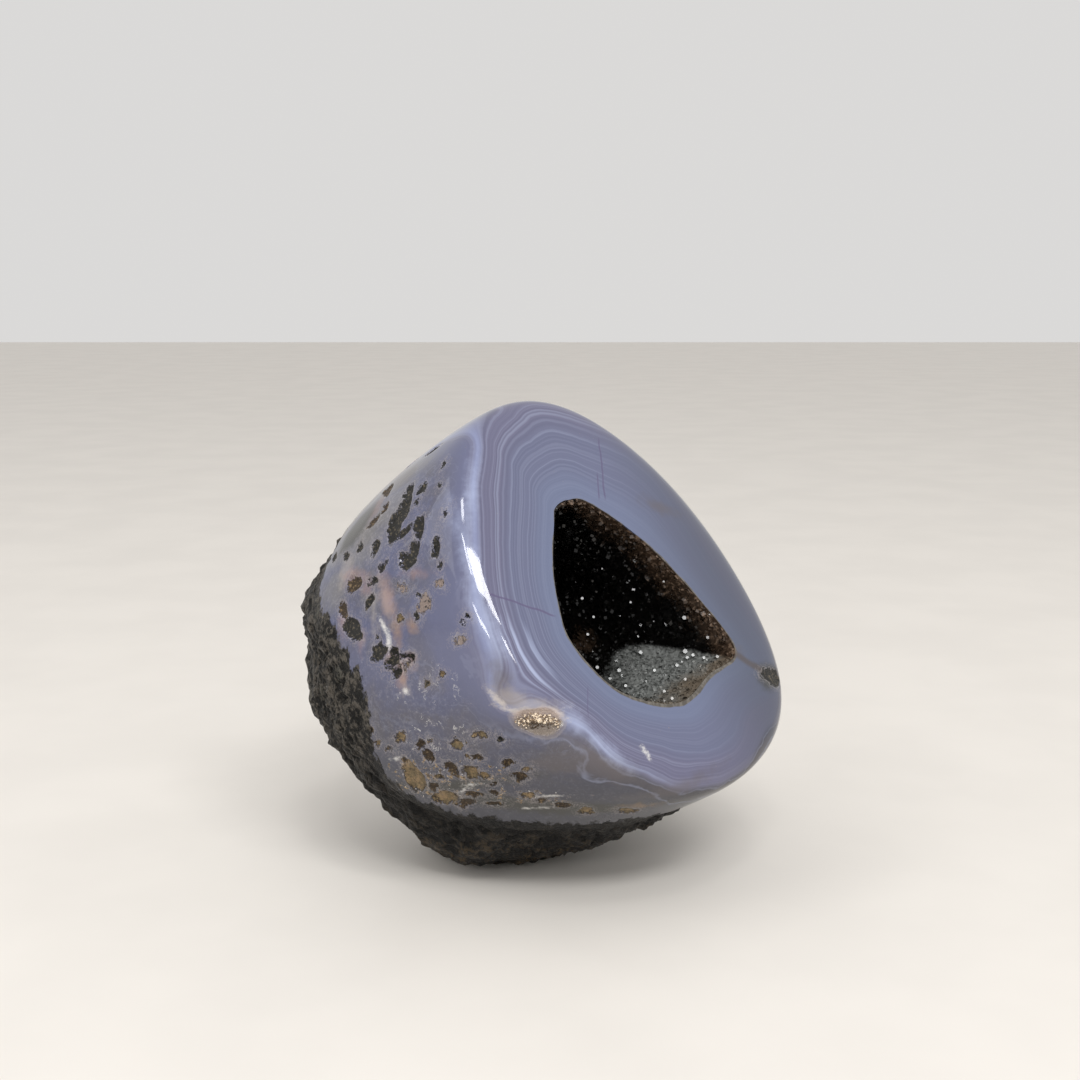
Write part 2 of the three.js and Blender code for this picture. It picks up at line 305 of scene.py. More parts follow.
@dataclass(frozen=True)
class Rind:
    """The rough natural skin on the side away from the cut face."""

    stone: StoneForm
    reach: tuple[float, ...] = (70, 64, 60, 60, 64, 73, 88, 79, 98, 112, 104, 84)
    lump_rise: float = 10
    lump_height: float = 2
    waves: tuple[tuple[float, float, float, float], ...] = (
        (12, 5, 0, 1), (0, 13, -6, 2), (5, 0, 14, 4),
    )
    flow: Triple = (0.62, 0.0, -0.785)
    flow_share: float = 0.35
    swell_size: float = 6.5
    swell_height: float = 1.0
    knob_size: float = 3.6
    knob_height: float = 0.75
    knob_sharpness: float = 0.7
    knob_mean: float = 0.7
    grit_size: float = 1.5
    grit_height: float = 0.75
    grit_mean: float = 0.5
    tongues: tuple[Swell, ...] = (Swell(-88, 26, 12, 17), Swell(-64, 8, 4, 4))

    def inside(self, directions: np.ndarray) -> np.ndarray:
        """How far inside the rind's edge each direction lies, in degrees.

        Args:
            directions: Unit vectors from the stone's centre.

        Returns:
            Degrees, below 0 outside the rind.
        """
        right, up, out = self.stone.axes()
        around = np.arctan2(directions @ up, directions @ right)
        away = np.degrees(np.arccos(np.clip(-directions @ out, -1, 1)))
        return round_the_ring(self.reach, around) - away

    def cover(self, directions: np.ndarray, points: np.ndarray) -> np.ndarray:
        """How far inside the rind each point lies, in degrees, with the rind's tongues."""
        return self.inside(directions) + sum(t.shift(self.stone, points) for t in self.tongues)

    def lumps(self, directions: np.ndarray, points: np.ndarray) -> tuple[np.ndarray, np.ndarray]:
        """Height of the rind above the smooth stone, and of its small knobs alone.

        Args:
            directions: Unit vectors from the stone's centre.
            points: Points in millimetres.

        Returns:
            Both heights in millimetres.
        """
        swell = sum(np.sin(directions @ np.array(w[:3]) + w[3]) for w in self.waves)
        height = swell / len(self.waves) * self.lump_height
        share = smooth_step(self.cover(directions, points), 0, self.lump_rise)
        relief = np.zeros(len(points))
        flow = Vector(self.flow)
        for i in np.flatnonzero(share > 0):
            place = Vector(points[i])
            place -= flow * place.dot(flow) * self.flow_share
            rise = noise.noise(place / self.swell_size) * self.swell_height
            knob = abs(noise.noise(place / self.knob_size)) ** self.knob_sharpness * 2 - self.knob_mean
            grit = noise.turbulence(place / self.grit_size, 2, False) - self.grit_mean
            relief[i] = rise + knob * self.knob_height + grit * self.grit_height
        return share * (height + relief), relief


class PitKind(Enum):
    """What shows in a pit or patch of the polish. The value is the name of its field."""

    DARK = "pits_dark"
    BROWN = "pits_brown"
    GOLD = "pits_gold"
    WHITE = "patch_white"
    CREAM = "patch_cream"
    RUST = "patch_rust"
    SMUDGE = "patch_smudge"
    FLECKS = "patch_flecks"
    MOTTLE = "patch_mottle"
    FROST_AND_SHEEN = "patch_frost_and_sheen"
    TAN = "pits_tan"
    POCKET = "pits_pocket"
    OCHRE = "patch_ochre"
    VEIL = "patch_veil"
    GLOW = "patch_glow"
    STREAKS = "patch_streaks"
    SHADE = "patch_shade"


@dataclass(frozen=True)
class Pit:
    """A hole or patch in the polish: its place, size and lean in degrees to the right."""

    heading: float
    tilt: float
    width: float
    height: float
    lean: float = 0
    depth: float = 0
    kind: PitKind = PitKind.DARK
    pit_lobes: float = 0.24
    patch_lobes: float = 0.12
    near_share: float = 4
    near_margin: float = 4

    def frame(self, stone: StoneForm) -> tuple[np.ndarray, np.ndarray, np.ndarray]:
        """Middle of the pit, and its own right and up directions along the surface.

        Args:
            stone: The stone that it lies on.

        Returns:
            The middle, and the two unit vectors.
        """
        middle = stone.surface(self.heading, self.tilt)
        step = 0.5
        east = stone.surface(self.heading + step, self.tilt) - middle
        north = stone.surface(self.heading, self.tilt + step) - middle
        normal = unit(np.cross(east, north))
        right = unit(np.cross((0, 0, 1), normal))
        up = np.cross(normal, right)
        turn = math.radians(self.lean)
        leaned = right * math.cos(turn) - up * math.sin(turn)
        return middle, leaned, np.cross(normal, leaned)

    def field(self, stone: StoneForm, points: np.ndarray) -> np.ndarray:
        """Millimetres inside the pit's outline, negative outside it.

        Args:
            stone: The stone that it lies on.
            points: Points in millimetres.

        Returns:
            The millimetres, at least OUTSIDE.
        """
        middle, right, up = self.frame(stone)
        away = points - middle
        half = np.array([self.width, self.height]) / 2
        across, rise = away @ right / half[0], away @ up / half[1]
        turn = np.arctan2(rise, across)
        lobes = sum(np.sin(waves * turn + waves**2 * self.heading) / waves for waves in (2, 3, 5))
        share = self.pit_lobes if self.depth else self.patch_lobes
        ratio = np.hypot(across, rise) * (1 + share * lobes)
        reach = self.near_share * half.max() + self.near_margin
        near = np.linalg.norm(away, axis=1) < reach
        return np.where(near, (1 - ratio) * half.min(), OUTSIDE)


def marks(kind: PitKind, *rows: tuple[float, ...]) -> tuple[Pit, ...]:
    """Pits or patches of one kind, from their places, sizes, leans and, for a pit, depths."""
    return tuple(Pit(*row, kind=kind) for row in rows)


# Each row is a heading, tilt, width, height, lean and, for a pit, depth, in degrees and millimetres.
PITS = (
    *marks(PitKind.DARK, (-50.5, 46, 4.6, 3.7, 39, 0.6), (-48, 41, 5.2, 6.5, -23, 0.8),
           (-48.5, 36.5, 5, 6.3, -13, 0.8), (-43.5, 47, 2.8, 3, 13, 0.5), (-42.5, 43.5, 1.2, 2.1, 23, 0.4),
           (-43.5, 35.5, 1.9, 5.6, 46, 0.6), (-37.5, 37.5, 3.2, 4.9, -11, 0.8),
           (-37.5, 31.5, 3.6, 5, 12, 0.8), (-39.2, 29.2, 5, 4, -26, 0.8), (-29.5, 33, 2.4, 4.1, -10, 0.8),
           (-27, 29, 1.1, 1.8, 7, 0.6), (-29, 41, 1, 2.1, 1, 0.4), (-38.5, 53.5, 1.1, 2.2, -37, 0.4),
           (-35, 48, 0.9, 1.5, -30, 0.4), (-53.5, 30.5, 2.6, 4.4, 12, 0.7), (-48, 26.5, 1.9, 2.9, 13, 0.7),
           (-50.5, 22.5, 3.3, 2, -22, 0.7), (-61, 29.5, 2.7, 2.2, -9, 0.4), (-66, 26, 2.9, 2, -5, 0.4),
           (-74, 24, 2.8, 2.1, 6, 0.3), (-50, 17.5, 2.1, 3.5, 30, 0.7), (-33, 21.5, 1.3, 1, -5, 0.6),
           (-33, 16, 1.4, 1.8, -5, 0.6), (-17.5, 17.5, 1.5, 1.2, -5, 0.7), (-18.5, 16, 1.1, 1, -10, 0.7),
           (-20, 12, 0.9, 0.8, -15, 0.6), (-55, 9.5, 6.5, 5, 0, 0.8), (-46, 9, 1.3, 1.2, -20, 0.5),
           (-44.8, 5.3, 5.2, 3.3, -23, 0.6), (-39.8, 5.9, 2.5, 3.2, 29, 1.3),
           (-34.5, 5.6, 2.6, 2.2, -24, 1.2), (-38.6, 1.1, 2.5, 3.8, 17, 1.1),
           (-40.3, 3.7, 5.7, 2.3, -36, 1.1), (-36.6, 5.4, 2.6, 1.2, -9, 0.8),
           (-29, -0.5, 0.9, 1.1, 10, 0.7), (-9, -12.5, 1.9, 1.5, -38, 0.8), (78.5, -7.4, 7.4, 4.6, 11, 0.6),
           (-62, 60, 3, 5, 20, 0.5), (-95, 44, 5, 8, 20, 0.6), (-88, 34, 4, 6, 10, 0.6),
           (-82, 55, 3, 4, 0, 0.5), (134, 46, 4, 3, 10, 0.5)),
    *marks(PitKind.BROWN, (-70, 45.5, 6.8, 3.5, 19, 0.4), (-59.5, 41, 2.5, 3.6, -30, 0.4),
           (-61, 36.5, 2.4, 4, 34, 0.3), (-57.5, 20.5, 5.4, 3.5, 0, 0.8), (-59.5, 13, 5, 2.9, 35, 0.6),
           (-57, -9, 1.9, 2.7, 45, 0.4), (-7.5, -19.5, 2.3, 3, 44, 0.8), (-4.5, -23.5, 4.2, 2.9, -18, 0.9),
           (-32.5, -17.5, 2, 2.8, 38, 0.8), (-30.5, -20.5, 2.9, 3.6, -42, 0.8),
           (-31, -30, 2.9, 2.1, -39, 0.5), (-24, -23.5, 2.4, 4.9, -42, 0.7), (-16, -19, 2.5, 2, -32, 0.6),
           (-13, -34.5, 3.5, 1.6, -10, 0.5), (-12, -27, 1.4, 1.9, 50, 0.6),
           (-12.5, -30.5, 2.5, 1.9, -38, 0.6), (-19, -31.5, 4.5, 1.9, -10, 0.5),
           (7.5, -32.5, 3.2, 2.1, -5, 0.5), (1, -31.5, 2.8, 1.5, -10, 0.4),
           (-22.5, -35, 4.3, 2.9, -28, 0.5), (-39, -22.5, 1.3, 1.9, 35, 0.4), (-104, 52, 3, 5, 35, 0.5),
           (120, 52, 3, 5, 20, 0.5)),
    *marks(PitKind.TAN, (-39, 22.7, 2.9, 1.7, -5, 0.2), (-31, 19.4, 3.9, 4.5, 26, 0.3),
           (-26.4, 24.6, 2.3, 1.7, -5, 0.2), (-19.5, 11.6, 2.8, 2.2, -12, 0.2),
           (-36.2, 2, 1.2, 1.6, 0, 0.6)),
    *marks(PitKind.GOLD, (-51.5, 8.5, 1.3, 1.4, 15, 0.4), (-38.5, 15, 1.8, 1.6, -10, 0.4),
           (-29, -0.5, 1.7, 2, 25, 0.4), (-24.5, 2.5, 1.9, 1.2, -10, 0.4),
           (-59.5, -2.5, 2.1, 1.3, -15, 0.4), (-48.5, -15.5, 2.2, 1.6, -29, 0.4),
           (-47, -19, 2.2, 1.5, -28, 0.4), (-38.5, -16.5, 2.5, 3.4, 37, 0.4),
           (-43, -20, 1.9, 1.4, -36, 0.4), (-36, 3.5, 2.3, 1.4, -20, 0.3), (-14.5, -12, 3.3, 2, -15, 0.3),
           (-21.5, -16, 4.2, 2, -11, 0.4), (-37, -27.5, 6, 8.4, -24, 0.6), (-18.5, -24, 4.6, 3.3, -27, 0.6),
           (-14.5, -24.5, 1.9, 2.6, 36, 0.5), (-28.5, -33.5, 6.6, 4.6, -22, 0.6),
           (-2.5, -30, 3.8, 2.1, -10, 0.4), (-2.5, -20.5, 2.3, 1.5, -16, 0.4), (26, -33.5, 5, 2.9, 20, 0.3),
           (14.5, -34.5, 3.6, 3, 35, 0.4), (-29.5, -16, 1.5, 1.1, -25, 0.4), (-19, -19, 1.2, 1.6, 35, 0.5),
           (-28.5, -26.5, 2, 1.6, -5, 0.5), (112, 40, 1.6, 2.4, 0, 0.5)),
)
PATCHES = (
    *marks(PitKind.CREAM, (-9.1, -1.9, 4.8, 0.9, 38), (-5.3, -4.1, 4.6, 0.9, 8), (-0.2, -3.9, 6.6, 1.1, 0),
           (4.7, -4.6, 3.7, 0.9, 33)),
    *marks(PitKind.VEIL, (-5.7, -1.5, 10.1, 4.3, 23), (-0.4, -2.3, 9.6, 2.6, 6),
           (-44.2, 18.7, 2.7, 9.5, -30), (-48.2, 15, 0.9, 6.4, -9), (-46.2, 11.8, 2.8, 0.8, -38),
           (-36, -3.2, 2.4, 2.9, 28), (-63.2, 22.3, 4.7, 7.1, 4)),
    # White marks, several of them painted highlights: the pair near heading -42, the glint at 27.6 and the
    # dot beside the pocket; the thin ones low down are white streaks.
    *marks(PitKind.WHITE, (-41.8, 8.4, 1.2, 3, -8), (-43.5, 11.5, 0.9, 3.4, -37),
           (-36, -3.7, 1.5, 1.2, -36), (27.6, -16.6, 0.8, 2.6, -25), (-41.5, -22.5, 1.2, 0.3, -19),
           (-18.5, -28, 1.2, 0.2, -17), (-22, -30.5, 1, 0.3, -37), (-0.5, -35, 2, 0.3, -6),
           (-1.5, -30.5, 1.4, 0.2, -11), (2.5, -29.5, 2, 0.2, -6), (5.5, -7, 0.9, 0.9, 0)),
    *marks(PitKind.RUST, (-44, 19.5, 3.9, 10.8, -28), (-66.5, 40, 3.2, 7.4, -33), (-58.2, 21.7, 8, 4.4, -6),
           (-51.6, 20.5, 3.4, 2.3, -2), (-35, 26.6, 4.1, 1.4, -6), (-37.3, 0.3, 2.6, 5.5, -5),
           (-51.3, 7.3, 1.7, 3.2, -5), (-58.7, 10.4, 2.7, 6.1, -12)),
    *marks(PitKind.OCHRE, (-39.3, 12.4, 2.4, 5.4, -9), (-41, 4.6, 1.9, 3.2, 7), (-37.6, 2.3, 1.8, 4.1, -7),
           (-34.5, 4.8, 3.4, 2.9, -18), (-34.4, 13.8, 2.6, 3, 0), (28.2, -30.6, 4.6, 1.6, 0)),
    # Painted sheen: pale veils round the highlights along the crest.
    *marks(PitKind.GLOW, (-18.5, 30.3, 3.3, 20.8, -12), (-12.4, 16.8, 3.5, 14.2, -26),
           (-22.9, 45.8, 2.7, 15.7, 18), (9.2, -7.2, 3.5, 7.6, -36), (16.3, -13.5, 2.4, 10.4, -47)),
    *marks(PitKind.STREAKS, (-4.9, 7.7, 13, 23, -24)),
    *marks(PitKind.SMUDGE, (-8.6, 3.2, 4.4, 9.6, -22), (14.8, -17.6, 21.3, 5.4, 26),
           (82.2, 47.7, 8.6, 2.6, 28), (5.6, -17.6, 11, 5.7, 8), (-71, 51, 18, 8, -5),
           (36, -24, 20, 3, -10), (71.4, -0.8, 5, 2.2, 0)),
    *marks(PitKind.SHADE, (-70.5, 33, 9.4, 12.7, 18), (4, -34, 44, 5, 4), (78, -7.2, 9.4, 6.4, 11),
           (-24, -29, 24, 3, -14)),
    *marks(PitKind.FLECKS, (-26, 0, 13, 11, 20), (-28, -15, 26, 12, -20), (-38, -3, 8, 9, 0)),
    *marks(PitKind.MOTTLE, (-27, -27, 34, 15, -12), (-4, -30, 30, 8, 4)),
    # Frosted grey veils on the upper left of the flank, partly the stone's own frosted look and partly a
    # painted reflection of the bright room.
    *marks(PitKind.FROST_AND_SHEEN, (-66.2, 29, 25.9, 14, -17), (-65.7, 17, 10.1, 9.1, 31), (-55, 42, 10, 14.1, 27),
           (-49.1, 17.2, 3.9, 4.6, -19), (-73, 48, 12, 30, 40)),
)


@dataclass(frozen=True)
class CrystalPocket:
    """The small open pocket of golden crystals below the hollow."""

    outline: Pit = Pit(0.2, -6.5, 12.7, 7, 0, 0, PitKind.POCKET)
    depth: float = 1.5
    edge: float = 2.4

    def sunk(self, stone: StoneForm, points: np.ndarray) -> np.ndarray:
        """How deep the pocket lies below the polish at each point."""
        return smooth_step(self.outline.field(stone, points), 0, self.edge) * self.depth


class Tree:
    """The node tree of one material, filled by short calls. Its places are in millimetres."""

    def __init__(self, name: str) -> None:
        """Starts an empty material.

        Args:
            name: The material's name.
        """
        self.material = bpy.data.materials.new(name)
        self.material.use_nodes = True
        self.nodes = self.material.node_tree.nodes
        self.links = self.material.node_tree.links
        self.nodes.clear()
        self.place = self.scaled((1 / MM,) * 3, self.add("TexCoord").outputs["Object"])

    def add(self, kind: str, settings: dict[str, Any] | None = None,
            sockets: dict[Any, Any] | None = None) -> bpy.types.Node:
        """Adds one node.

        Args:
            kind: The node's type without its "ShaderNode" prefix.
            settings: Properties that are set before its sockets.
            sockets: Numbers, colours or links by socket name or index.

        Returns:
            The node.
        """
        node = self.nodes.new("ShaderNode" + kind)
        for name, value in (settings or {}).items():
            setattr(node, name, value)
        for name, value in (sockets or {}).items():
            self.feed(node.inputs[name], value)
        return node

    def feed(self, socket: Socket, value: Any) -> None:
        """Links or sets one socket.

        Args:
            socket: The socket.
            value: A number, a colour, a vector, or what another node gives.
        """
        if isinstance(value, Value):
            value = value.socket
        if isinstance(value, Socket):
            self.links.new(value, socket)
        elif socket.type == "RGBA" and len(value) == 3:
            socket.default_value = (*value, 1)
        else:
            socket.default_value = value

    def value(self, kind: str, settings: dict[str, Any], sockets: dict[Any, Any],
              output: Any = 0) -> "Value":
        """The number that a new node gives."""
        return Value(self, self.add(kind, settings, sockets).outputs[output])

    def attribute(self, name: str) -> "Value":
        """A number stored on the mesh."""
        return self.value("Attribute", {"attribute_name": name}, {}, "Fac")

    def inside(self, kind: PitKind) -> "Value":
        """Millimetres inside the nearest pit or patch of a kind."""
        return self.attribute(kind.value)

    def scaled(self, by: Triple, vector: Any = None) -> Socket:
        """The point's place, or another vector, multiplied axis by axis."""
        sockets = {0: self.place if vector is None else vector, 1: by}
        return self.add("VectorMath", {"operation": "MULTIPLY"}, sockets).outputs[0]

    def drawn_out(self, axis: Triple, share: float) -> Socket:
        """The point's place, squeezed along an axis so that patterns on it are drawn out.

        Args:
            axis: The axis, of length 1.
            share: How much of the place's part along the axis is taken off.

        Returns:
            The vector.
        """
        length = self.along(axis) * share
        part = self.add("VectorMath", {"operation": "SCALE"}, {0: axis, "Scale": length}).outputs[0]
        return self.add("VectorMath", {"operation": "SUBTRACT"}, {0: self.place, 1: part}).outputs[0]

    def along(self, axis: Any) -> "Value":
        """How far the point lies along an axis through the origin."""
        sockets = {0: self.place, 1: tuple(axis)}
        return self.value("VectorMath", {"operation": "DOT_PRODUCT"}, sockets, "Value")

    def height(self) -> "Value":
        """The point's height."""
        return self.along((0, 0, 1))

    def noise(self, scale: float, detail: float = 2, roughness: float = 0.5,
              distortion: float = 0, vector: Any = None) -> "Value":
        """Cloudy noise.

        Args:
            scale: Waves per millimetre.
            detail: How many times finer waves are added.
            roughness: How strong the finer waves are.
            distortion: How much the noise is swirled.
            vector: Where it is read, if not at the point's place.

        Returns:
            A number about 0, from about -0.5 to 0.5.
        """
        return self.value("TexNoise", {"noise_dimensions": "3D"}, {
            "Vector": self.place if vector is None else vector, "Scale": scale, "Detail": detail,
            "Roughness": roughness, "Distortion": distortion,
        }) - 0.5

    def bands(self, depth: "Value", scale: float, detail: float = 1) -> "Value":
        """Uneven stripes across a depth, about 0, with so many per millimetre."""
        sockets = {"W": depth, "Scale": scale, "Detail": detail, "Roughness": 0.55}
        return self.value("TexNoise", {"noise_dimensions": "1D"}, sockets) - 0.5

    def cells(self, vector: Socket, scale: float) -> "Value":
        """Distance from the walls of many uneven cells."""
        sockets = {"Vector": vector, "Scale": scale}
        return self.value("TexVoronoi", {"feature": "DISTANCE_TO_EDGE"}, sockets, "Distance")

    def mix(self, share: Any, first: Any, second: Any) -> Socket:
        """A colour between two, the first at share 0."""
        sockets = {"Factor": share, 6: first, 7: second}
        return self.add("Mix", {"data_type": "RGBA"}, sockets).outputs[2]

    def layered(self, colour: Any, *coats: tuple[Any, Any]) -> Any:
        """Colours laid over each other.

        Args:
            colour: The first colour, under all others.
            coats: The share that each next coat covers, and its colour.

        Returns:
            The colour that shows.
        """
        for share, tone in coats:
            colour = self.mix(share, colour, tone)
        return colour

    def bump(self, height: "Value", distance: float,
             normal: Socket | None = None) -> Socket:
        """A normal that is bent by a relief.

        Args:
            height: The relief's height.
            distance: How many millimetres a height of 1 is.
            normal: The normal that is bent, if not the mesh's own.

        Returns:
            The bent normal.
        """
        sockets = {"Height": height, "Distance": distance * MM, "Strength": 1.0}
        if normal is not None:
            sockets["Normal"] = normal
        return self.add("Bump", {}, sockets).outputs[0]

    def shader(self, kind: str, sockets: dict[Any, Any]) -> Socket:
        """One shader node's output."""
        return self.add(kind, {}, sockets).outputs[0]

    def finish(self, shader: Socket) -> bpy.types.Material:
        """Ends the tree with that shader."""
        self.add("OutputMaterial", {}, {"Surface": shader})
        return self.material


class Value:
    """A number in a node tree that takes part in Python expressions."""

    def __init__(self, tree: Tree, socket: Socket) -> None:
        """Wraps one output socket."""
        self.tree = tree
        self.socket = socket

    def _math(self, operation: str, *others: Any) -> "Value":
        """The result of one Math node that starts with this value."""
        return self.tree.value("Math", {"operation": operation}, dict(enumerate((self, *others))))

    def __add__(self, other: Any) -> "Value":
        """Sum."""
        return self._math("ADD", other)

    def __sub__(self, other: Any) -> "Value":
        """Difference."""
        return self._math("SUBTRACT", other)

    def __rsub__(self, other: float) -> "Value":
        """Difference from a plain number."""
        return self.tree.value("Math", {"operation": "SUBTRACT"}, {0: other, 1: self})

    def __mul__(self, other: Any) -> "Value":
        """Product."""
        return self._math("MULTIPLY", other)

    def __abs__(self) -> "Value":
        """Size without sign."""
        return self._math("ABSOLUTE")

    def highest(self, other: Any) -> "Value":
        """The larger of two."""
        return self._math("MAXIMUM", other)

    def step(self, low: float, high: float, top: float = 1) -> "Value":
        """A smooth change from 0 to a top.

        Args:
            low: Where the result leaves 0. It may be larger than high.
            high: Where the result reaches the top.
            top: The top.

        Returns:
            The result.
        """
        span = {"Value": self, "From Min": low, "From Max": high, "To Min": 0.0, "To Max": top}
        if low > high:
            span.update({"From Min": high, "From Max": low, "To Min": top, "To Max": 0.0})
        return self.tree.value("MapRange", {"interpolation_type": "SMOOTHSTEP"}, span)

    def hump(self, middle: float, half_width: float, top: float = 1) -> "Value":
        """top at the middle, falling smoothly to 0 at half_width to both sides."""
        return abs(self - middle).step(half_width, 0, top)


@dataclass(frozen=True)
class Crack:
    """A straight healed crack in the agate, between two places of the surface."""

    start: Pair
    end: Pair
    width: float = 0.25
    strength: float = 0.5
    core: float = 0.2
    end_fade: Pair = (0.5, -1.5)

    def mask(self, tree: Tree, stone: StoneForm, wobble: Value) -> Value:
        """Where the crack shows.

        Args:
            tree: The material's tree.
            stone: The stone that it runs over.
            wobble: Millimetres by which its line wanders.

        Returns:
            0 beside the crack, its strength in it.
        """
        first, last = stone.surface(*self.start), stone.surface(*self.end)
        outward = first - np.array(stone.centre)
        along = unit(last - first)
        across = unit(np.cross(along, outward))
        offset = tree.along(across) - float(first @ across) + wobble
        middle = float((first + last) @ along / 2)
        half = float(np.linalg.norm(last - first) / 2)
        length = abs(tree.along(along) - middle).step(*(half + fade for fade in self.end_fade))
        front = tree.along(outward).step(0, 1)
        return abs(offset).step(self.width, self.width * self.core, self.strength) * length * front


@dataclass(frozen=True)
class AgateFinish:
    """The polished agate: blue-grey layers round the hollow, clouds and pits on the flank, with painted
    shade to the right and low down, painted sheen and glints.
    """

    stone: StoneForm
    near_blue: Colour = paint(104, 112, 139)
    lavender: Colour = paint(100, 104, 130)
    violet: Colour = paint(103, 100, 124)
    pale_line: Colour = paint(142, 148, 172)
    dark_line: Colour = paint(78, 80, 105)
    crest_blue: Colour = paint(140, 149, 184)
    # Painted shade for the stone's right side.
    right_side_shade: Colour = paint(72, 77, 89)
    crest_shade: Colour = paint(96, 99, 126)
    flank_blue: Colour = paint(88, 91, 118)
    flank_grey: Colour = paint(88, 86, 96)
    # Frosted grey, partly a painted reflection.
    frost_and_sheen: Colour = paint(130, 127, 122)
    # Painted shade for the low parts of the stone.
    low_shade: Colour = paint(59, 59, 65)
    low_violet: Colour = paint(124, 129, 154)
    quartz_rim: Colour = paint(82, 77, 70)
    quartz_pale: Colour = paint(110, 105, 98)
    cream: Colour = paint(196, 187, 180)
    crack_tone: Colour = paint(88, 80, 112)
    seam_tone: Colour = paint(80, 72, 70)
    dark_pit: Colour = paint(28, 27, 24)
    pit_grain: Colour = paint(122, 111, 92)
    brown_pit: Colour = paint(58, 44, 28)
    gold_pit: Colour = paint(150, 126, 92)
    olive_pit: Colour = paint(106, 92, 64)
    # White, also used for painted highlights and glints.
    white_and_glint: Colour = paint(228, 226, 222)
    pit_ring: Colour = paint(158, 150, 148)
    rust: Colour = paint(168, 134, 124)
    smudge: Colour = paint(94, 87, 88)
    brown_violet: Colour = paint(98, 91, 98)
    ochre: Colour = paint(164, 130, 96)
    veil: Colour = paint(166, 158, 153)
    # Pale blue for the painted sheen round the crest's highlights, and for pale streaks in the layers.
    glow: Colour = paint(176, 186, 216)
    shade: Colour = paint(58, 57, 50)
    tan_pit: Colour = paint(142, 126, 118)
    mottle_pale: Colour = paint(150, 148, 158)
    mottle_dark: Colour = paint(66, 66, 80)
    pocket_low: Colour = paint(134, 122, 110)
    pocket_high: Colour = paint(198, 180, 170)
    polish_roughness: float = 0.06
    crest_layer: float = 20
    cracks: tuple[Crack, ...] = (
        Crack((-14.1, 23.5), (6.0, 19.1), 0.36, 0.8), Crack((79.3, 73.3), (50.6, 60.0), 0.36, 0.75),
        Crack((55.5, 67.7), (45.6, 60.5), 0.32, 0.7), Crack((13.8, -0.5), (12.5, -7.1), 0.25, 0.5),
    )
    seam: Crack = Crack((71.2, -0.6), (77, -6.6), 1.5, 0.75)

    def side(self, tree: Tree) -> Value:
        """How far the point lies to the right of the stone's centre, along the cut face."""
        right, _, _ = self.stone.axes()
        return tree.along(right) - float(np.array(self.stone.centre) @ right)

    def layer_colour(self, tree: Tree, layer: Value) -> Socket:
        """Colour of the layered agate on and near the cut face, painted darker towards its right side as
        shade.

        Args:
            tree: The material's tree.
            layer: Millimetres of agate layers between the point and the hollow.

        Returns:
            The colour.
        """
        side = self.side(tree)
        spell = tree.bands(layer + 20, 0.28).step(-0.15, 0.12, 0.6) + 0.4
        lowness = tree.height().step(56, 44)
        contrast = (layer.step(3, 8, 0.62) + 0.25) * spell * side.step(26, -10, 0.75) + 0.09
        contrast = contrast * (1 - lowness * 0.42)
        broad = tree.bands(layer + 7, 0.2)
        middle = tree.bands(layer + 40, 0.5)
        fine = tree.bands(layer + 80, 1.7, 2)
        lines = tree.bands(layer + 11, 1.1).step(0.03, 0.14, 0.5) * side.step(2, -24, 0.6)
        streaks = tree.bands(layer + 60, 0.6).step(-0.02, 0.16, 0.62)
        crest = layer.hump(self.crest_layer, 1.4, 0.6) * side.step(8, -22)
        return tree.layered(
            self.near_blue,
            (layer.step(1, 8), self.lavender),
            ((layer + broad * 14).step(10, 16, 0.7), self.violet),
            (middle.step(0.07, 0.17, 0.38) * contrast, self.pale_line),
            (middle.step(-0.06, -0.18, 0.3) * contrast, self.dark_line),
            (fine.step(0.0, 0.2, 0.42) * contrast, self.pale_line),
            (fine.step(0.0, -0.2, 0.5) * contrast, self.dark_line),
            (crest, tree.mix(lowness, self.crest_blue, self.low_violet)),
            # Painted sheen: a pale band of lines low along the crest, where the highlight falls.
            (lines * layer.hump(19.5, 4.5) * lowness, self.glow),
            (streaks * tree.inside(PitKind.STREAKS).step(-2, 4), self.glow),
            # Painted shade: the face is painted greyer and darker towards its right side, where less light
            # falls.
            (side.step(4, 34, 0.66), self.right_side_shade),
        )

    def flank_colour(self, tree: Tree, layer: Value) -> Socket:
        """Colour of the clouded agate past the crest, painted darker low down and to the right as shade.

        Args:
            tree: The material's tree.
            layer: Millimetres of agate layers between the point and the hollow.

        Returns:
            The colour.
        """
        height = tree.height()
        lowness = height.step(52, 42)
        side = self.side(tree)
        cloud = tree.noise(0.07, 4, 0.6, 0.4)
        swirl = tree.noise(0.11, 3, 0.55, 1.2)
        fine = tree.noise(1.0, 5, 0.7)
        contour = tree.bands(swirl * 26 + cloud * 12, 0.9, 2).step(0.1, 0.2, 0.34)
        veil = tree.bands(layer * 0.8 + cloud * 8, 0.9, 2).step(0.08, 0.2, 0.16)
        near_edge = (layer + swirl * 4).hump(22.2, 0.5, 0.3)
        scallop = (layer + swirl * 6).hump(25.6, 0.7, 0.45).highest(near_edge)
        worn = layer.step(22, 30, 0.18) - height.step(50, 34, 0.08)
        worn = worn + tree.inside(PitKind.FROST_AND_SHEEN).step(-3, 3, 0.3)
        return tree.layered(
            self.flank_blue,
            (cloud.step(-0.12, 0.15), self.flank_grey),
            (layer.step(28, 22) * (1 - lowness), self.crest_shade),
            (layer.hump(23.4, 3.2, 0.85) * lowness * side.step(34, 16), self.brown_violet),
            ((contour * layer.step(23, 28)).highest(veil), self.pale_line),
            # Painted shade: the flank is painted darker and greyer towards the bottom, where little light
            # reaches.
            ((height + cloud * 30).step(60, 26, 0.88), self.low_shade),
            (scallop * lowness, self.pale_line),
            # Painted shade: the flank is painted greyer and darker towards the right.
            (side.step(20, 36, 0.6), self.right_side_shade),
            (fine.step(0.0, 0.16) * worn, self.mottle_pale),
            (fine.step(0.0, -0.16) * worn, self.mottle_dark),
        )

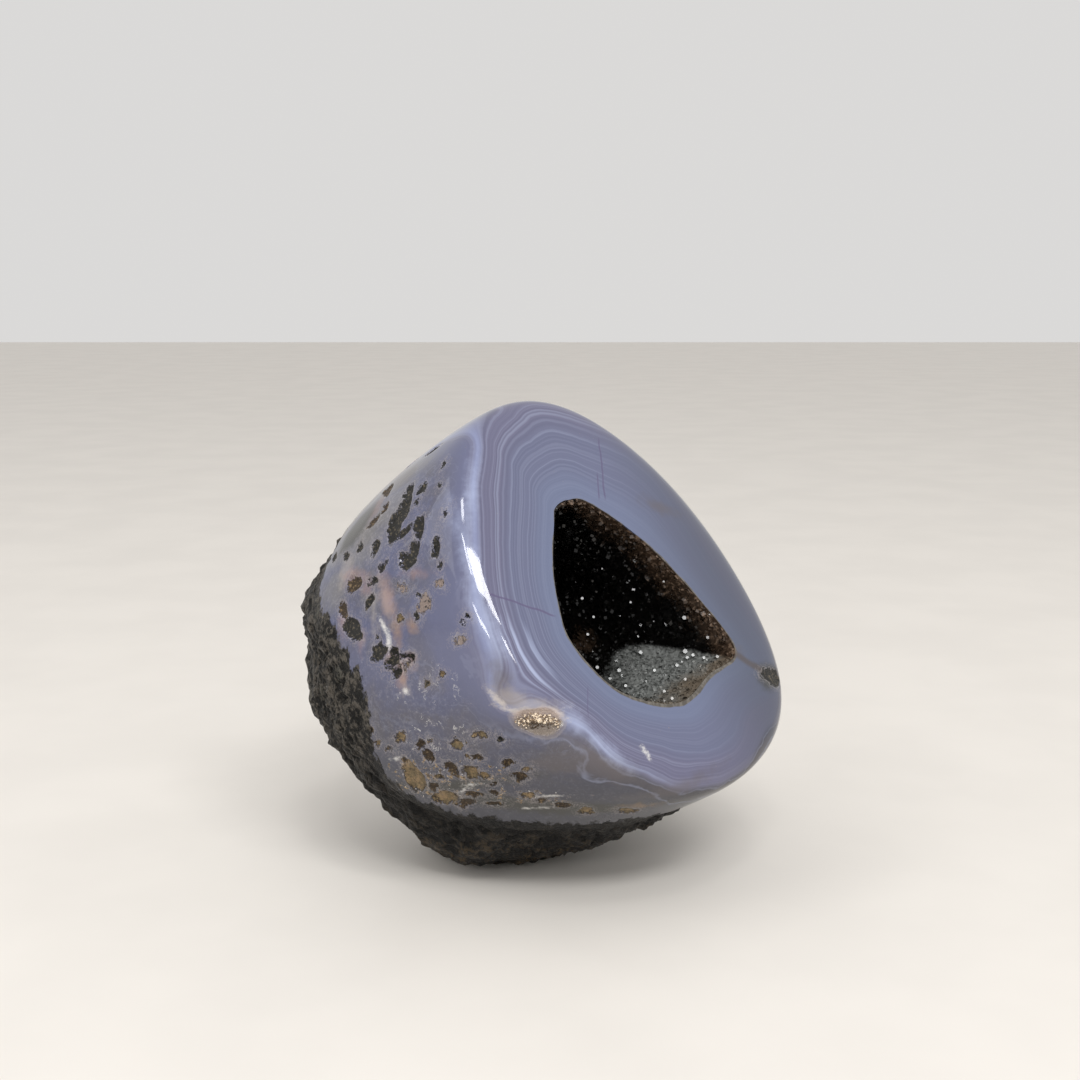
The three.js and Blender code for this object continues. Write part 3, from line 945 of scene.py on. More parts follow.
    def patches(self, tree: Tree, colour: Any) -> Socket:
        """Lays the flat stains, veils and flecks over a colour, with a frosted grey veil that is partly a
        painted reflection, painted sheen round the crest's highlights and painted white glints.

        Args:
            tree: The material's tree.
            colour: The agate's colour.

        Returns:
            The colour with its patches.
        """
        soft = tree.noise(0.35, 4, 0.65) * 4
        broken = tree.noise(1.8, 3, 0.7, vector=tree.scaled((0.6, 0.6, 1))) * 1.6
        coats = []
        for kind, tone, low, high, top in (
            # The frosted veil is partly a painted reflection, and the crest's pale veils are painted sheen.
            (PitKind.FROST_AND_SHEEN, self.frost_and_sheen, -3, 3, 0.48), (PitKind.SMUDGE, self.smudge, -1.6, 1.6, 0.5),
            (PitKind.VEIL, self.veil, -1.3, 1.6, 0.5), (PitKind.RUST, self.rust, -1.5, 1.8, 0.42),
            (PitKind.SHADE, self.shade, -1.8, 1.4, 0.8), (PitKind.OCHRE, self.ochre, -1.5, 1.6, 0.5),
            (PitKind.GLOW, self.glow, -1.8, 2, 0.45),
        ):
            coats.append(((tree.inside(kind) + soft).step(low, high, top), tone))
        for kind, tone in ((PitKind.CREAM, self.cream), (PitKind.WHITE, self.white_and_glint)):
            sharp = tree.inside(kind) + soft * 0.3 + broken
            coats.append((sharp.step(-0.6, 0.5, 0.75), tone))
        scribble = tree.noise(0.6, 3, 0.6, 0.8)
        fleck = abs(scribble - 0.06).step(0.022, 0.006, 0.5) * tree.noise(0.5).step(0.06, 0.12)
        coats.append((fleck * tree.inside(PitKind.FLECKS).step(-1, 2), self.white_and_glint))
        return tree.layered(colour, *coats)

    def mottles(self, tree: Tree, colour: Any) -> Socket:
        """Lays the many small brown and golden specks of the lower flank over a colour, with painted white
        glints among them.

        Args:
            tree: The material's tree.
            colour: The agate's colour.

        Returns:
            The colour with its specks.
        """
        region = tree.inside(PitKind.MOTTLE).step(-2.5, 2.5, 0.16)
        speck = tree.noise(0.5, 5, 0.7, 0.3) + region
        grain = tree.noise(1.4, 3, 0.7)
        spark = tree.noise(1.5, vector=tree.scaled((1, 1, 1.6))) + region
        tone = tree.mix(grain.step(-0.08, 0.1), self.brown_pit, self.gold_pit)
        return tree.layered(
            colour,
            (speck.step(0.2, 0.215, 0.3), self.pit_ring),
            (speck.step(0.225, 0.24), tone),
            # Painted glints: small white sparkles.
            (spark.step(0.35, 0.37, 0.8), self.white_and_glint),
        )

    def pit_marks(self, tree: Tree, colour: Any) -> tuple[Any, Value]:
        """Colours the pits and the crystal pocket.

        Args:
            tree: The material's tree.
            colour: The agate's colour.

        Returns:
            The colour with its pits, and where the pits are open.
        """
        upright = tree.scaled((1, 1, 0.7))
        ragged = tree.noise(0.7, 4, 0.7, vector=upright) * 3.4 + tree.noise(2.4, 3, 0.7) * 1.8
        grain = tree.noise(1.3, 4, 0.72)
        cells = tree.cells(upright, 0.85) + grain * 0.25
        golden = (tree.inside(PitKind.GOLD) + ragged).step(0.1, 0.55)
        gold = tree.mix(tree.noise(0.5, 4, 0.7).step(-0.12, 0.12), self.olive_pit, self.gold_pit)
        in_pocket = tree.inside(PitKind.POCKET) + ragged * 0.3
        open_pit = in_pocket.step(0.3, 1.5)
        for kind, tone, other, share in (
            (PitKind.TAN, self.tan_pit, self.dark_pit, grain.step(0.07, 0.11)),
            (PitKind.GOLD, self.brown_pit, gold, cells.step(-0.04, 0.06) * golden),
            (PitKind.BROWN, self.brown_pit, self.gold_pit, grain.step(0.02, 0.16, 0.85)),
            (PitKind.DARK, self.dark_pit, self.pit_grain, grain.step(0.02, 0.15, 0.66)),
        ):
            inside = tree.inside(kind) + ragged
            ring = inside.hump(-0.3, 0.3, 0.4).highest(inside.hump(-1.1, 0.16, 0.25))
            mask = inside.step(0.0, 0.15)
            filling = tree.mix(share, tone, other)
            colour = tree.layered(colour, (ring, self.pit_ring), (mask, filling))
            open_pit = open_pit.highest(mask)
        high = (tree.height() + grain * 2).step(50.2, 52.6)
        return tree.layered(
            colour,
            (in_pocket.step(-0.1, 0.9, 0.9), tree.mix(high, self.pocket_low, self.pocket_high)),
            (in_pocket.hump(0, 0.35, 0.32), self.pit_ring),
        ), open_pit

    def shader(self, tree: Tree) -> Socket:
        """The polished agate's shader.

        Args:
            tree: The material's tree.

        Returns:
            The shader node's output.
        """
        wave = tree.noise(0.06)
        ripple = tree.noise(0.25)
        raw = tree.attribute("layer")
        low = tree.height().step(52, 34, 4)
        layer = raw + wave * (low + raw.step(20, 30, 6) + 1.2) + ripple * 0.35
        past_crest = layer.step(self.crest_layer + 0.3, self.crest_layer + 3)
        rim = tree.mix(tree.noise(0.9, 3).step(-0.1, 0.15), self.quartz_rim, self.quartz_pale)
        colour = tree.layered(
            self.layer_colour(tree, layer),
            (past_crest, self.flank_colour(tree, layer)),
            ((raw + ripple * 0.9).step(-0.1, -0.32), rim),
        )
        colour = tree.layered(
            self.patches(tree, colour),
            *((crack.mask(tree, self.stone, ripple * 0.8), self.crack_tone) for crack in self.cracks),
            (self.seam.mask(tree, self.stone, ripple * 1.2), self.seam_tone),
        )
        colour, open_pit = self.pit_marks(tree, self.mottles(tree, colour))
        grain = tree.noise(1.3, 4, 0.7) * open_pit - open_pit * 0.6
        dents = tree.bump(tree.noise(0.1, 1), 0.2)
        return tree.shader("BsdfPrincipled", {
            "Base Color": colour, "Roughness": open_pit * 0.5 + self.polish_roughness,
            "IOR": QUARTZ_IOR, "Normal": tree.bump(grain, 0.8, dents),
        })


@dataclass(frozen=True)
class RindFinish:
    """The rough rind: near-black crevices and grey-brown knobs, partly its own colours and partly painted
    shade and light, with tan flecks.
    """

    rind: Rind
    dark: Colour = paint(12, 11, 10)
    knob: Colour = paint(98, 92, 84)
    tan: Colour = paint(150, 134, 112)
    green: Colour = paint(76, 78, 70)
    base_brown: Colour = paint(82, 66, 42)

    def shader(self, tree: Tree) -> Socket:
        """The rind's shader.

        Args:
            tree: The material's tree.

        Returns:
            The shader node's output.
        """
        flow = tree.drawn_out(self.rind.flow, self.rind.flow_share)
        height = tree.height()
        cloud = tree.noise(0.12, 4, 0.65)
        knobs = tree.noise(0.42, 4, 0.66, 0.5, flow)
        grain = tree.noise(1.2, 4, 0.7, vector=flow)
        # Painted light and shade: raised knobs and relief are painted lighter, crevices stay near-black.
        lit = knobs * 0.85 + grain * 0.95 + tree.attribute("relief") * 0.08
        colour = tree.layered(
            self.dark,
            (lit.step(-0.1, 0.16), self.knob),
            (cloud.step(0.02, 0.18, 0.6) * lit.step(-0.08, 0.1), self.green),
            (grain.step(0.16, 0.24, 0.75) * cloud.step(-0.12, 0.1), self.tan),
            # Painted shade: the rind is painted near-black towards the bottom, where little light reaches.
            (height.step(48, 20, 0.8), self.dark),
            (height.step(22, 4) * lit.step(-0.04, 0.18, 0.8), self.base_brown),
        )
        return tree.shader("BsdfPrincipled", {
            "Base Color": colour, "Roughness": 0.4, "IOR": 1.5, "Specular IOR Level": 0.22,
            "Normal": tree.bump(knobs + grain * 0.5, 2.4),
        })


@dataclass(frozen=True)
class DruseFinish:
    """The crystals in the hollow: dark as smoke quartz and painted darker still as the hollow's shade,
    brown along the rim, grey on the floor as a painted patch of light.
    """

    smoky_and_shade: Colour = paint(11, 10, 9)
    brown: Colour = paint(62, 49, 39)
    tan: Colour = paint(128, 108, 92)
    grey: Colour = paint(132, 134, 132)
    dark_grey: Colour = paint(106, 108, 106)
    floor_brown: Colour = paint(102, 90, 76)
    roughness: float = 0.12

    def material(self) -> bpy.types.Material:
        """The crystals' material.

        Returns:
            The material.
        """
        tree = Tree("druse_crystals")
        patch = tree.noise(0.12)
        rim = tree.attribute("rim") + patch
        grain = tree.noise(0.9, 3, 0.6)
        brown = tree.mix((grain + rim * 0.12).step(0.1, 0.26, 0.8), self.brown, self.tan)
        # The grey of the lit floor: painted light over the crystals' dark colour.
        grey = tree.mix(grain.step(-0.12, 0.14), self.dark_grey, self.grey)
        browned = tree.attribute("edge") + patch * 1.2 + grain * 0.7
        # The floor turns browner and darker towards the rim.
        heap = tree.mix(browned.step(0.2, 0.9, 0.9), grey, self.floor_brown)
        floor = tree.attribute("floor") + patch * 0.5 + grain * 0.3
        colour = tree.layered(
            # Near-black: the crystals' dark colour, painted darker still as the deep hollow's shade.
            self.smoky_and_shade,
            ((rim + grain * 0.7).step(0.15, 0.85), brown),
            ((tree.attribute("stain") + grain * 0.8).step(0.3, 0.8, 0.7), brown),
            # Painted light: the lit floor of the hollow is painted grey up to the edge of the rim's shadow.
            (floor.step(0.15, 0.75), heap),
        )
        return tree.finish(tree.shader("BsdfPrincipled", {
            "Base Color": colour, "Roughness": self.roughness, "IOR": QUARTZ_IOR,
            "Specular IOR Level": 0.36,
        }))


@dataclass(frozen=True)
class GoldenFinish:
    """The pocket's crystals: clear gold over brown."""

    gold: Colour = paint(252, 236, 212)
    brown: Colour = paint(140, 117, 94)
    shade: Colour = paint(74, 60, 46)
    shade_height: float = 50.3
    roughness: float = 0.12

    def material(self) -> bpy.types.Material:
        """The crystals' material.

        Returns:
            The material.
        """
        tree = Tree("golden_crystals")
        patch = tree.noise(0.7, 3)
        spots = tree.noise(1.7, 2, 0.6)
        clear = tree.mix(spots.step(-0.06, 0.1), self.brown, self.gold)
        height = tree.height() + patch * 2.5 - self.shade_height
        middle = abs(tree.along((1, 0, 0)) + patch * 3 + 0.6).step(3.4, 2)
        return tree.finish(tree.shader("BsdfPrincipled", {
            "Base Color": tree.mix(height.step(0.3, -0.3) * middle, clear, self.shade),
            "Roughness": self.roughness, "IOR": QUARTZ_IOR,
        }))


@dataclass(frozen=True)
class FloorFinish:
    """The plain pale floor."""

    tone: Colour = paint(232, 227, 220)
    darkening: float = 0.96

    def material(self) -> bpy.types.Material:
        """The floor's material.

        Returns:
            The material.
        """
        tree = Tree("pale_floor")
        darker = tuple(self.darkening * c for c in self.tone)
        colour = tree.mix(tree.noise(0.02, 3).step(-0.2, 0.2), self.tone, darker)
        return tree.finish(tree.shader("BsdfPrincipled", {"Base Color": colour, "Roughness": 0.6}))


def read_rows(items: Any, name: str) -> np.ndarray:
    """One vector of every item of a mesh.

    Args:
        items: The mesh's vertices or faces.
        name: The vector's name.

    Returns:
        Rows of three numbers.
    """
    rows = np.empty(len(items) * 3)
    items.foreach_get(name, rows)
    return rows.reshape(-1, 3)


def read_points(piece: Piece) -> np.ndarray:
    """A mesh's vertices as rows of numbers."""
    return read_rows(piece.data.vertices, "co")


def write_points(piece: Piece, points: np.ndarray) -> None:
    """Puts rows of numbers back as a mesh's vertices."""
    piece.data.vertices.foreach_set("co", np.asarray(points, dtype=np.float64).ravel())
    piece.data.update()


def write_field(piece: Piece, name: str, values: np.ndarray) -> None:
    """Stores one number for each vertex under a name."""
    attribute = piece.data.attributes.new(name, "FLOAT", "POINT")
    attribute.data.foreach_set("value", np.asarray(values, dtype=np.float32))


def select_only(piece: Piece) -> None:
    """Makes a piece the active and only selected one.

    Args:
        piece: The piece.
    """
    bpy.ops.object.select_all(action="DESELECT")
    piece.select_set(True)
    bpy.context.view_layer.objects.active = piece


def edit(piece: Piece, selected: np.ndarray | None = None) -> None:
    """Opens a piece for editing with those faces selected, or all of them.

    Args:
        piece: The piece.
        selected: Whether each face is selected, or None for all.
    """
    select_only(piece)
    bpy.ops.object.mode_set(mode="EDIT")
    bpy.ops.mesh.select_mode(type="FACE")
    bpy.ops.mesh.select_all(action="SELECT" if selected is None else "DESELECT")
    if selected is not None:
        bpy.ops.object.mode_set(mode="OBJECT")
        piece.data.polygons.foreach_set("select", selected)
        bpy.ops.object.mode_set(mode="EDIT")


def dress(piece: Piece, name: str, material: bpy.types.Material) -> None:
    """Names a finished piece, gives it its material and lets it ride on the body.

    Args:
        piece: The piece.
        name: Its name.
        material: Its material.
    """
    piece.name = piece.data.name = name
    piece.data.materials.clear()
    piece.data.materials.append(material)
    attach(piece, BODY)


@dataclass
class PolishedNodule:
    """The agate nodule: polished front, rind behind, with the hollow cut into it."""

    stone: StoneForm
    hollow: Hollow
    rind: Rind
    pocket: CrystalPocket
    pits: tuple[Pit, ...] = PITS
    patches: tuple[Pit, ...] = PATCHES
    cuts: int = 103
    fine_heading: Pair = (-75, 8)
    fine_tilt: Pair = (-42, 50)
    rim_width: float = 0.55
    cutter_sides: int = 220
    cutter_rows: int = 40
    pit_edge: Pair = (-0.1, 0.5)
    smooth_angle: float = 50

    def round_cube(self) -> Piece:
        """A cube subdivided and blown up into a ball, finer where the pits lie.

        Returns:
            The ball, of radius 1.
        """
        bpy.ops.mesh.primitive_cube_add(size=2)
        ball = bpy.context.active_object
        edit(ball)
        bpy.ops.mesh.subdivide(number_cuts=self.cuts)
        bpy.ops.object.mode_set(mode="OBJECT")
        write_points(ball, unit(np.tan(read_points(ball) * math.pi / 4)))
        middles = unit(read_rows(ball.data.polygons, "center"))
        heading = np.degrees(np.arctan2(middles[:, 0], -middles[:, 1]))
        tilt = np.degrees(np.arcsin(middles[:, 2]))
        pitted = ((heading > self.fine_heading[0]) & (heading < self.fine_heading[1])
                  & (tilt > self.fine_tilt[0]) & (tilt < self.fine_tilt[1]))
        edit(ball, pitted)
        bpy.ops.mesh.subdivide(number_cuts=1)
        bpy.ops.object.mode_set(mode="OBJECT")
        return ball

    def pit_fields(self, points: np.ndarray) -> dict[PitKind, np.ndarray]:
        """Millimetres inside the nearest pit of each kind.

        Args:
            points: Points in millimetres.

        Returns:
            The millimetres by kind.
        """
        fields = {kind: np.full(len(points), OUTSIDE) for kind in PitKind}
        for pit in (*self.pits, *self.patches, self.pocket.outline):
            fields[pit.kind] = np.maximum(fields[pit.kind], pit.field(self.stone, points))
        return fields

    def shape(self, ball: Piece) -> None:
        """Pushes the ball's vertices to the stone's surface, with its lumps and pits.

        Args:
            ball: The ball, of radius 1.
        """
        directions = unit(read_points(ball))
        smooth = self.stone.radius(directions)
        points = np.array(self.stone.centre) + directions * smooth[:, None]
        sunk = self.pocket.sunk(self.stone, points)
        for pit in self.pits:
            inside = smooth_step(pit.field(self.stone, points), *self.pit_edge)
            sunk = np.maximum(sunk, inside * pit.depth)
        lumps, relief = self.rind.lumps(directions, points)
        write_field(ball, "relief", relief)
        points += directions * (lumps - sunk)[:, None]
        points[:, 2] = np.maximum(points[:, 2], 0)
        write_points(ball, points * MM)

    def hollow_cutter(self) -> Piece:
        """The closed shape that cuts the hollow, a little smaller than the crust's outside.

        Returns:
            The shape.
        """
        cutter = wall_sheet(self.hollow, self.cutter_sides, self.cutter_rows, self.rim_width,
                            -self.hollow.overrun)
        edit(cutter)
        bpy.ops.mesh.select_all(action="DESELECT")
        bpy.ops.mesh.select_mode(type="EDGE")
        bpy.ops.mesh.select_non_manifold()
        bpy.ops.mesh.fill()
        bpy.ops.mesh.select_all(action="SELECT")
        bpy.ops.mesh.normals_make_consistent(inside=False)
        bpy.ops.object.mode_set(mode="OBJECT")
        return cutter

    def cut_hollow(self, ball: Piece) -> None:
        """Takes the hollow out of the stone.

        Args:
            ball: The stone.
        """
        cutter = self.hollow_cutter()
        select_only(ball)
        cut = ball.modifiers.new("hollow", "BOOLEAN")
        cut.operation = "DIFFERENCE"
        cut.solver = "EXACT"
        cut.object = cutter
        bpy.ops.object.modifier_apply(modifier=cut.name)
        bpy.data.objects.remove(cutter)

    def write_fields(self, ball: Piece) -> None:
        """Stores what the finish reads on the mesh.

        Args:
            ball: The stone.
        """
        points = read_points(ball) / MM
        directions = unit(points - np.array(self.stone.centre))
        write_field(ball, "layer", self.hollow.layers(points))
        write_field(ball, "rind", self.rind.cover(directions, points))
        for kind, values in self.pit_fields(points).items():
            write_field(ball, kind.value, values)

    def material(self) -> bpy.types.Material:
        """Agate and rind, mixed by the rind's ragged edge.

        Returns:
            The stone's material.
        """
        tree = Tree("banded_agate")
        ragged = tree.noise(0.3, 5, 0.7, vector=tree.scaled((1, 1, 0.6))) * 14
        share = (tree.attribute("rind") + ragged).step(-0.6, 0.6)
        agate = AgateFinish(self.stone).shader(tree)
        rind = RindFinish(self.rind).shader(tree)
        return tree.finish(tree.shader("MixShader", {0: share, 1: agate, 2: rind}))

    def build(self) -> Piece:
        """Makes the piece.

        Returns:
            The finished piece.
        """
        ball = self.round_cube()
        self.shape(ball)
        self.cut_hollow(ball)
        self.write_fields(ball)
        select_only(ball)
        bpy.ops.object.shade_smooth_by_angle(angle=math.radians(self.smooth_angle))
        dress(ball, "polished_nodule", self.material())
        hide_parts("agate_nodule")
        return ball


def wall_sheet(hollow: Hollow, sides: int, rows: int, inset: float,
               start: float) -> Piece:
    """A flat grid rolled up into the hollow's wall.

    Args:
        hollow: The hollow.
        sides: Faces round it.
        rows: Faces from its mouth to its deep end.
        inset: How far it is drawn in, in millimetres.
        start: Where it starts, as a share of the depth, below 0 outside the face.

    Returns:
        The wall, open at its mouth, with its seam and deep end closed.
    """
    bpy.ops.mesh.primitive_grid_add(x_subdivisions=sides, y_subdivisions=rows, size=2)
    sheet = bpy.context.active_object
    flat = read_points(sheet)
    angle = flat[:, 0] * math.pi
    share = (flat[:, 1] + 1) / 2
    at_mouth = share < 1e-6
    inward = np.where(at_mouth, start, np.sin(share * math.pi / 2) ** ROW_CROWDING)
    write_points(sheet, hollow.wall(angle, inward, inset) * MM)
    edit(sheet)
    bpy.ops.mesh.remove_doubles(threshold=MERGE_DISTANCE * MM)
    bpy.ops.object.mode_set(mode="OBJECT")
    return sheet


def crystal_points(sides: int, shoulder: float) -> np.ndarray:
    """A pointed prism of radius 1 and height 1: its sunk base, its shoulder and its tip.

    Args:
        sides: How many sides it has.
        shoulder: Height at which its sides end.

    Returns:
        Its vertices.
    """
    turn = np.arange(sides) / sides * 2 * math.pi
    ring = np.stack([np.cos(turn), np.sin(turn), np.zeros(sides)], axis=1)
    base = ring - (0, 0, SUNK_BASE)
    return np.vstack([base, ring + (0, 0, shoulder), [(0, 0, 1)]])


def crystal_faces(sides: int) -> np.ndarray:
    """The triangles of one crystal, open below.

    Args:
        sides: How many sides it has.

    Returns:
        Three vertices a row.
    """
    faces = []
    for side in range(sides):
        after = (side + 1) % sides
        faces += [(side, after, sides + after), (side, sides + after, sides + side)]
        faces.append((sides + side, sides + after, 2 * sides))
    return np.array(faces)


@dataclass
class CrystalBed:
    """Many small pointed crystals on given places, joined into one mesh."""

    places: np.ndarray
    normals: np.ndarray
    radii: np.ndarray
    seed: int
    sides: int = 6
    slender: Pair = (0.8, 1.7)
    lean: float = 0.45
    shoulder: float = 0.35

    def mesh(self) -> tuple[np.ndarray, np.ndarray]:
        """Vertices and triangles of all crystals.

        Returns:
            The vertices in millimetres, and the triangles.
        """
        rng = np.random.default_rng(self.seed)
        count = len(self.places)
        up = unit(self.normals + rng.normal(0, self.lean, (count, 3)))
        side = unit(np.cross(up, rng.normal(0, 1, (count, 3))))
        other = np.cross(up, side)
        tall = self.radii * rng.uniform(*self.slender, count)
        shape = crystal_points(self.sides, self.shoulder)
        flat = self.radii[:, None, None] * (
            shape[None, :, :1] * side[:, None] + shape[None, :, 1:2] * other[:, None]
        )
        raised = tall[:, None, None] * shape[None, :, 2:] * up[:, None]
        points = self.places[:, None] + flat + raised
        starts = np.arange(count)[:, None, None] * len(shape)
        faces = crystal_faces(self.sides)[None] + starts
        return points.reshape(-1, 3), faces.reshape(-1, 3)


def mesh_piece(name: str, points: np.ndarray, faces: np.ndarray) -> Piece:
    """A new object from vertices in millimetres and triangles.

    Args:
        name: Its name.
        points: Its vertices in millimetres.
        faces: Three vertices a row.

    Returns:
        The object.
    """
    mesh = bpy.data.meshes.new(name)
    mesh.from_pydata((points * MM).tolist(), [], faces.tolist())
    piece = bpy.data.objects.new(name, mesh)
    bpy.context.collection.objects.link(piece)
    return piece


def join(pieces: list[Piece]) -> Piece:
    """Joins pieces into the first.

    Args:
        pieces: The pieces.

    Returns:
        The first piece, with all in it.
    """
    select_only(pieces[0])
    for piece in pieces:
        piece.select_set(True)
    bpy.ops.object.join()
    return pieces[0]


def mostly_small(rng: np.random.Generator, span: Pair, count: int,
                 crowding: float) -> np.ndarray:
    """Random sizes within a span, the more small ones among them the higher the crowding."""
    small, large = span
    return small + (large - small) * rng.uniform(0, 1, count) ** crowding


@dataclass
class DruzyCrystals:
    """The crust of crystals that lines the hollow."""

    stone: StoneForm
    hollow: Hollow
    bed_inset: float = 0.8
    count: int = 9400
    radius: Pair = (0.32, 0.95)
    seed: int = 11
    sides: int = 120
    rows: int = 36
    rim_depth: float = 12
    heap_top: float = 54.8
    heap_start: float = 27
    heap_fall: float = 0.03
    face_margin: float = 0.15
    stain_place: Triple = (10.5, 6.5, 54.5)
    stain_reach: float = 7
    tries: int = 6
    mouth_crowding: float = 0.9
    mouth_weight: float = 0.11
    area_cut: float = 0.98
    size_crowding: float = 2.2
    heap_shrink: float = 0.22
    heap_edge: float = 1.2
    heap_fade: Pair = (11, 28)
    heap_least: float = 0.2
    roof_from: Pair = (-60, -30)
    roof_to: Pair = (95, 130)
    glint_height: float = 1.0
    glints: tuple[Triple, ...] = (
        (73, 0.29, 0.28), (62, 0.35, 0.34), (40, 0.33, 0.26), (12, 0.56, 0.4), (-2, 0.34, 0.3),
        (-10, 0.57, 0.34), (-25, 0.65, 0.4), (11, 0.08, 0.26), (-18, 0.14, 0.55), (-28, 0.1, 0.4),
        (-36, 0.44, 0.5), (-34, 0.24, 0.6), (-36, 0.2, 0.45), (-38, 0.22, 0.4), (-38, 0.14, 0.4),
        (-48, 0.2, 0.45), (-63, 0.41, 0.5), (-57, 0.26, 0.4), (-65, 0.51, 0.45), (-78, 0.32, 0.4),
        (-76, 0.13, 0.35), (-84, 0.04, 0.4), (-63, 0.08, 0.35),
    )

    def glint_crystals(self) -> tuple[np.ndarray, np.ndarray]:
        """Flat-topped crystals that are turned to throw the key light at the camera.

        Returns:
            Their vertices and triangles.
        """
        angle, inward, radii = np.array(self.glints).T
        places = self.hollow.wall(np.radians(angle), inward, self.bed_inset + self.glint_height)
        to_camera = unit(np.array(CAMERA_PLACE) - places)
        to_light = unit(np.array(KEY_LIGHT_PLACE) - places)
        bed = CrystalBed(places, unit(to_camera + to_light), radii, self.seed + 6, lean=0.01,
                         shoulder=1.0, slender=(0.5, 0.9))
        return bed.mesh()

    def scattered(self) -> tuple[np.ndarray, np.ndarray]:
        """Places spread evenly over the hollow's wall, and the wall's normals there.

        Returns:
            The places and the unit normals.
        """
        rng = np.random.default_rng(self.seed)
        tries = self.count * self.tries
        angle = rng.uniform(-math.pi, math.pi, tries)
        inward = rng.uniform(0, 1, tries) ** self.mouth_crowding
        step = 1e-3
        here = self.hollow.wall(angle, inward, self.bed_inset)
        around = self.hollow.wall(angle + step, inward, self.bed_inset) - here
        deeper = self.hollow.wall(angle, np.minimum(inward + step, 1), self.bed_inset) - here
        cross = np.cross(around, deeper)
        area = np.linalg.norm(cross, axis=1) * inward**self.mouth_weight
        keep = rng.uniform(0, np.quantile(area, self.area_cut), tries) < area
        chosen = np.flatnonzero(keep)[: self.count]
        return here[chosen], unit(-cross[chosen])

    def write_fields(self, piece: Piece) -> None:
        """Stores how near the rim and how much on the floor each vertex is.

        Args:
            piece: The piece.
        """
        points = read_points(piece) / MM
        right, up, behind = self.stone.face_places(points)
        angle = np.degrees(np.arctan2(up - self.hollow.middle[1], right - self.hollow.middle[0]))
        roof = smooth_step(angle, *self.roof_from) * (1 - smooth_step(angle, *self.roof_to))
        edge = 1 - behind / self.rim_depth
        away = np.linalg.norm(points - np.array(self.stain_place), axis=1)
        write_field(piece, "rim", edge * roof)
        write_field(piece, "edge", edge)
        write_field(piece, "floor", self.lit_floor_share(points))
        write_field(piece, "stain", 1 - away / self.stain_reach)

    def lit_floor_share(self, points: np.ndarray) -> np.ndarray:
        """1 on the grey heap on the hollow's floor, where the floor is lit and its grey is painted light, 0
        above it.

        Args:
            points: Points in millimetres.

        Returns:
            The shares.
        """
        top = self.heap_top - self.heap_fall * np.maximum(self.heap_start - points[:, 0], 0) ** 2
        fade = self.heap_least + (1 - self.heap_least) * smooth_step(points[:, 0], *self.heap_fade)
        return smooth_step(top - points[:, 2], -self.heap_edge, self.heap_edge) * fade

    def build(self) -> Piece:
        """Makes the piece.

        Returns:
            The finished piece.
        """
        places, normals = self.scattered()
        rng = np.random.default_rng(self.seed + 1)
        radii = mostly_small(rng, self.radius, len(places), self.size_crowding)
        radii *= 1 - self.heap_shrink * self.lit_floor_share(places)
        points, faces = CrystalBed(places, normals, radii, self.seed + 2).mesh()
        more, more_faces = self.glint_crystals()
        faces = np.vstack([faces, more_faces + len(points)])
        points = np.vstack([points, more])
        right, up, behind = self.stone.face_places(points)
        points = self.stone.from_face(right, up, np.maximum(behind, self.face_margin))
        crystals = mesh_piece("crystals", points, faces)
        bed = wall_sheet(self.hollow, self.sides, self.rows, self.bed_inset, 0.0)
        bed.data.flip_normals()
        piece = join([crystals, bed])
        self.write_fields(piece)
        dress(piece, "druzy_crystals", DruseFinish().material())
        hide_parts("druzy_crust")
        return piece


@dataclass
class PocketCrystals:
    """The golden crystals in the small pocket."""

    stone: StoneForm
    pocket: CrystalPocket
    count: int = 420
    radius: Pair = (0.07, 0.26)
    half_width: float = 5
    half_height: float = 1.7
    drop: float = 0.1
    edge_crowding: float = 0.6
    edge_spread: Pair = (0.75, 1.15)
    size_crowding: float = 2
    seed: int = 23

    def build(self) -> Piece:
        """Makes the piece.

        Returns:
            The finished piece.
        """
        rng = np.random.default_rng(self.seed)
        middle, right, up = self.pocket.outline.frame(self.stone)
        out = np.cross(right, up)
        turn = rng.uniform(0, 2 * math.pi, self.count)
        share = rng.uniform(0, 1, self.count) ** self.edge_crowding
        share *= rng.uniform(*self.edge_spread, self.count)
        across = (np.cos(turn) * share * self.half_width)[:, None] * right
        rise = (np.sin(turn) * share * self.half_height - self.drop)[:, None] * up
        level = middle + across + rise
        sunk = self.pocket.sunk(self.stone, level)
        places = level - sunk[:, None] * out
        radii = mostly_small(rng, self.radius, self.count, self.size_crowding)
        normals = np.repeat(out[None], self.count, axis=0)
        points, faces = CrystalBed(places, normals, radii, self.seed + 1).mesh()
        piece = mesh_piece("pocket", points, faces)
        dress(piece, "pocket_crystals", GoldenFinish().material())
        return piece


@dataclass(frozen=True)
class Lamp:
    """A rectangular soft light that looks at the stone's middle. Places and sizes in metres."""

    name: str
    place: Triple
    size: Pair
    power: float
    aim: Triple = (0, 0, 57 * MM)

    def build(self) -> None:
        """Adds the light."""
        data = bpy.data.lights.new(self.name, "AREA")
        data.shape = "RECTANGLE"
        data.size, data.size_y = self.size
        data.energy = self.power
        lamp = bpy.data.objects.new(self.name, data)
        bpy.context.collection.objects.link(lamp)
        lamp.location = self.place
        lamp.rotation_euler = (Vector(self.aim) - Vector(self.place)).to_track_quat("-Z", "Y").to_euler()


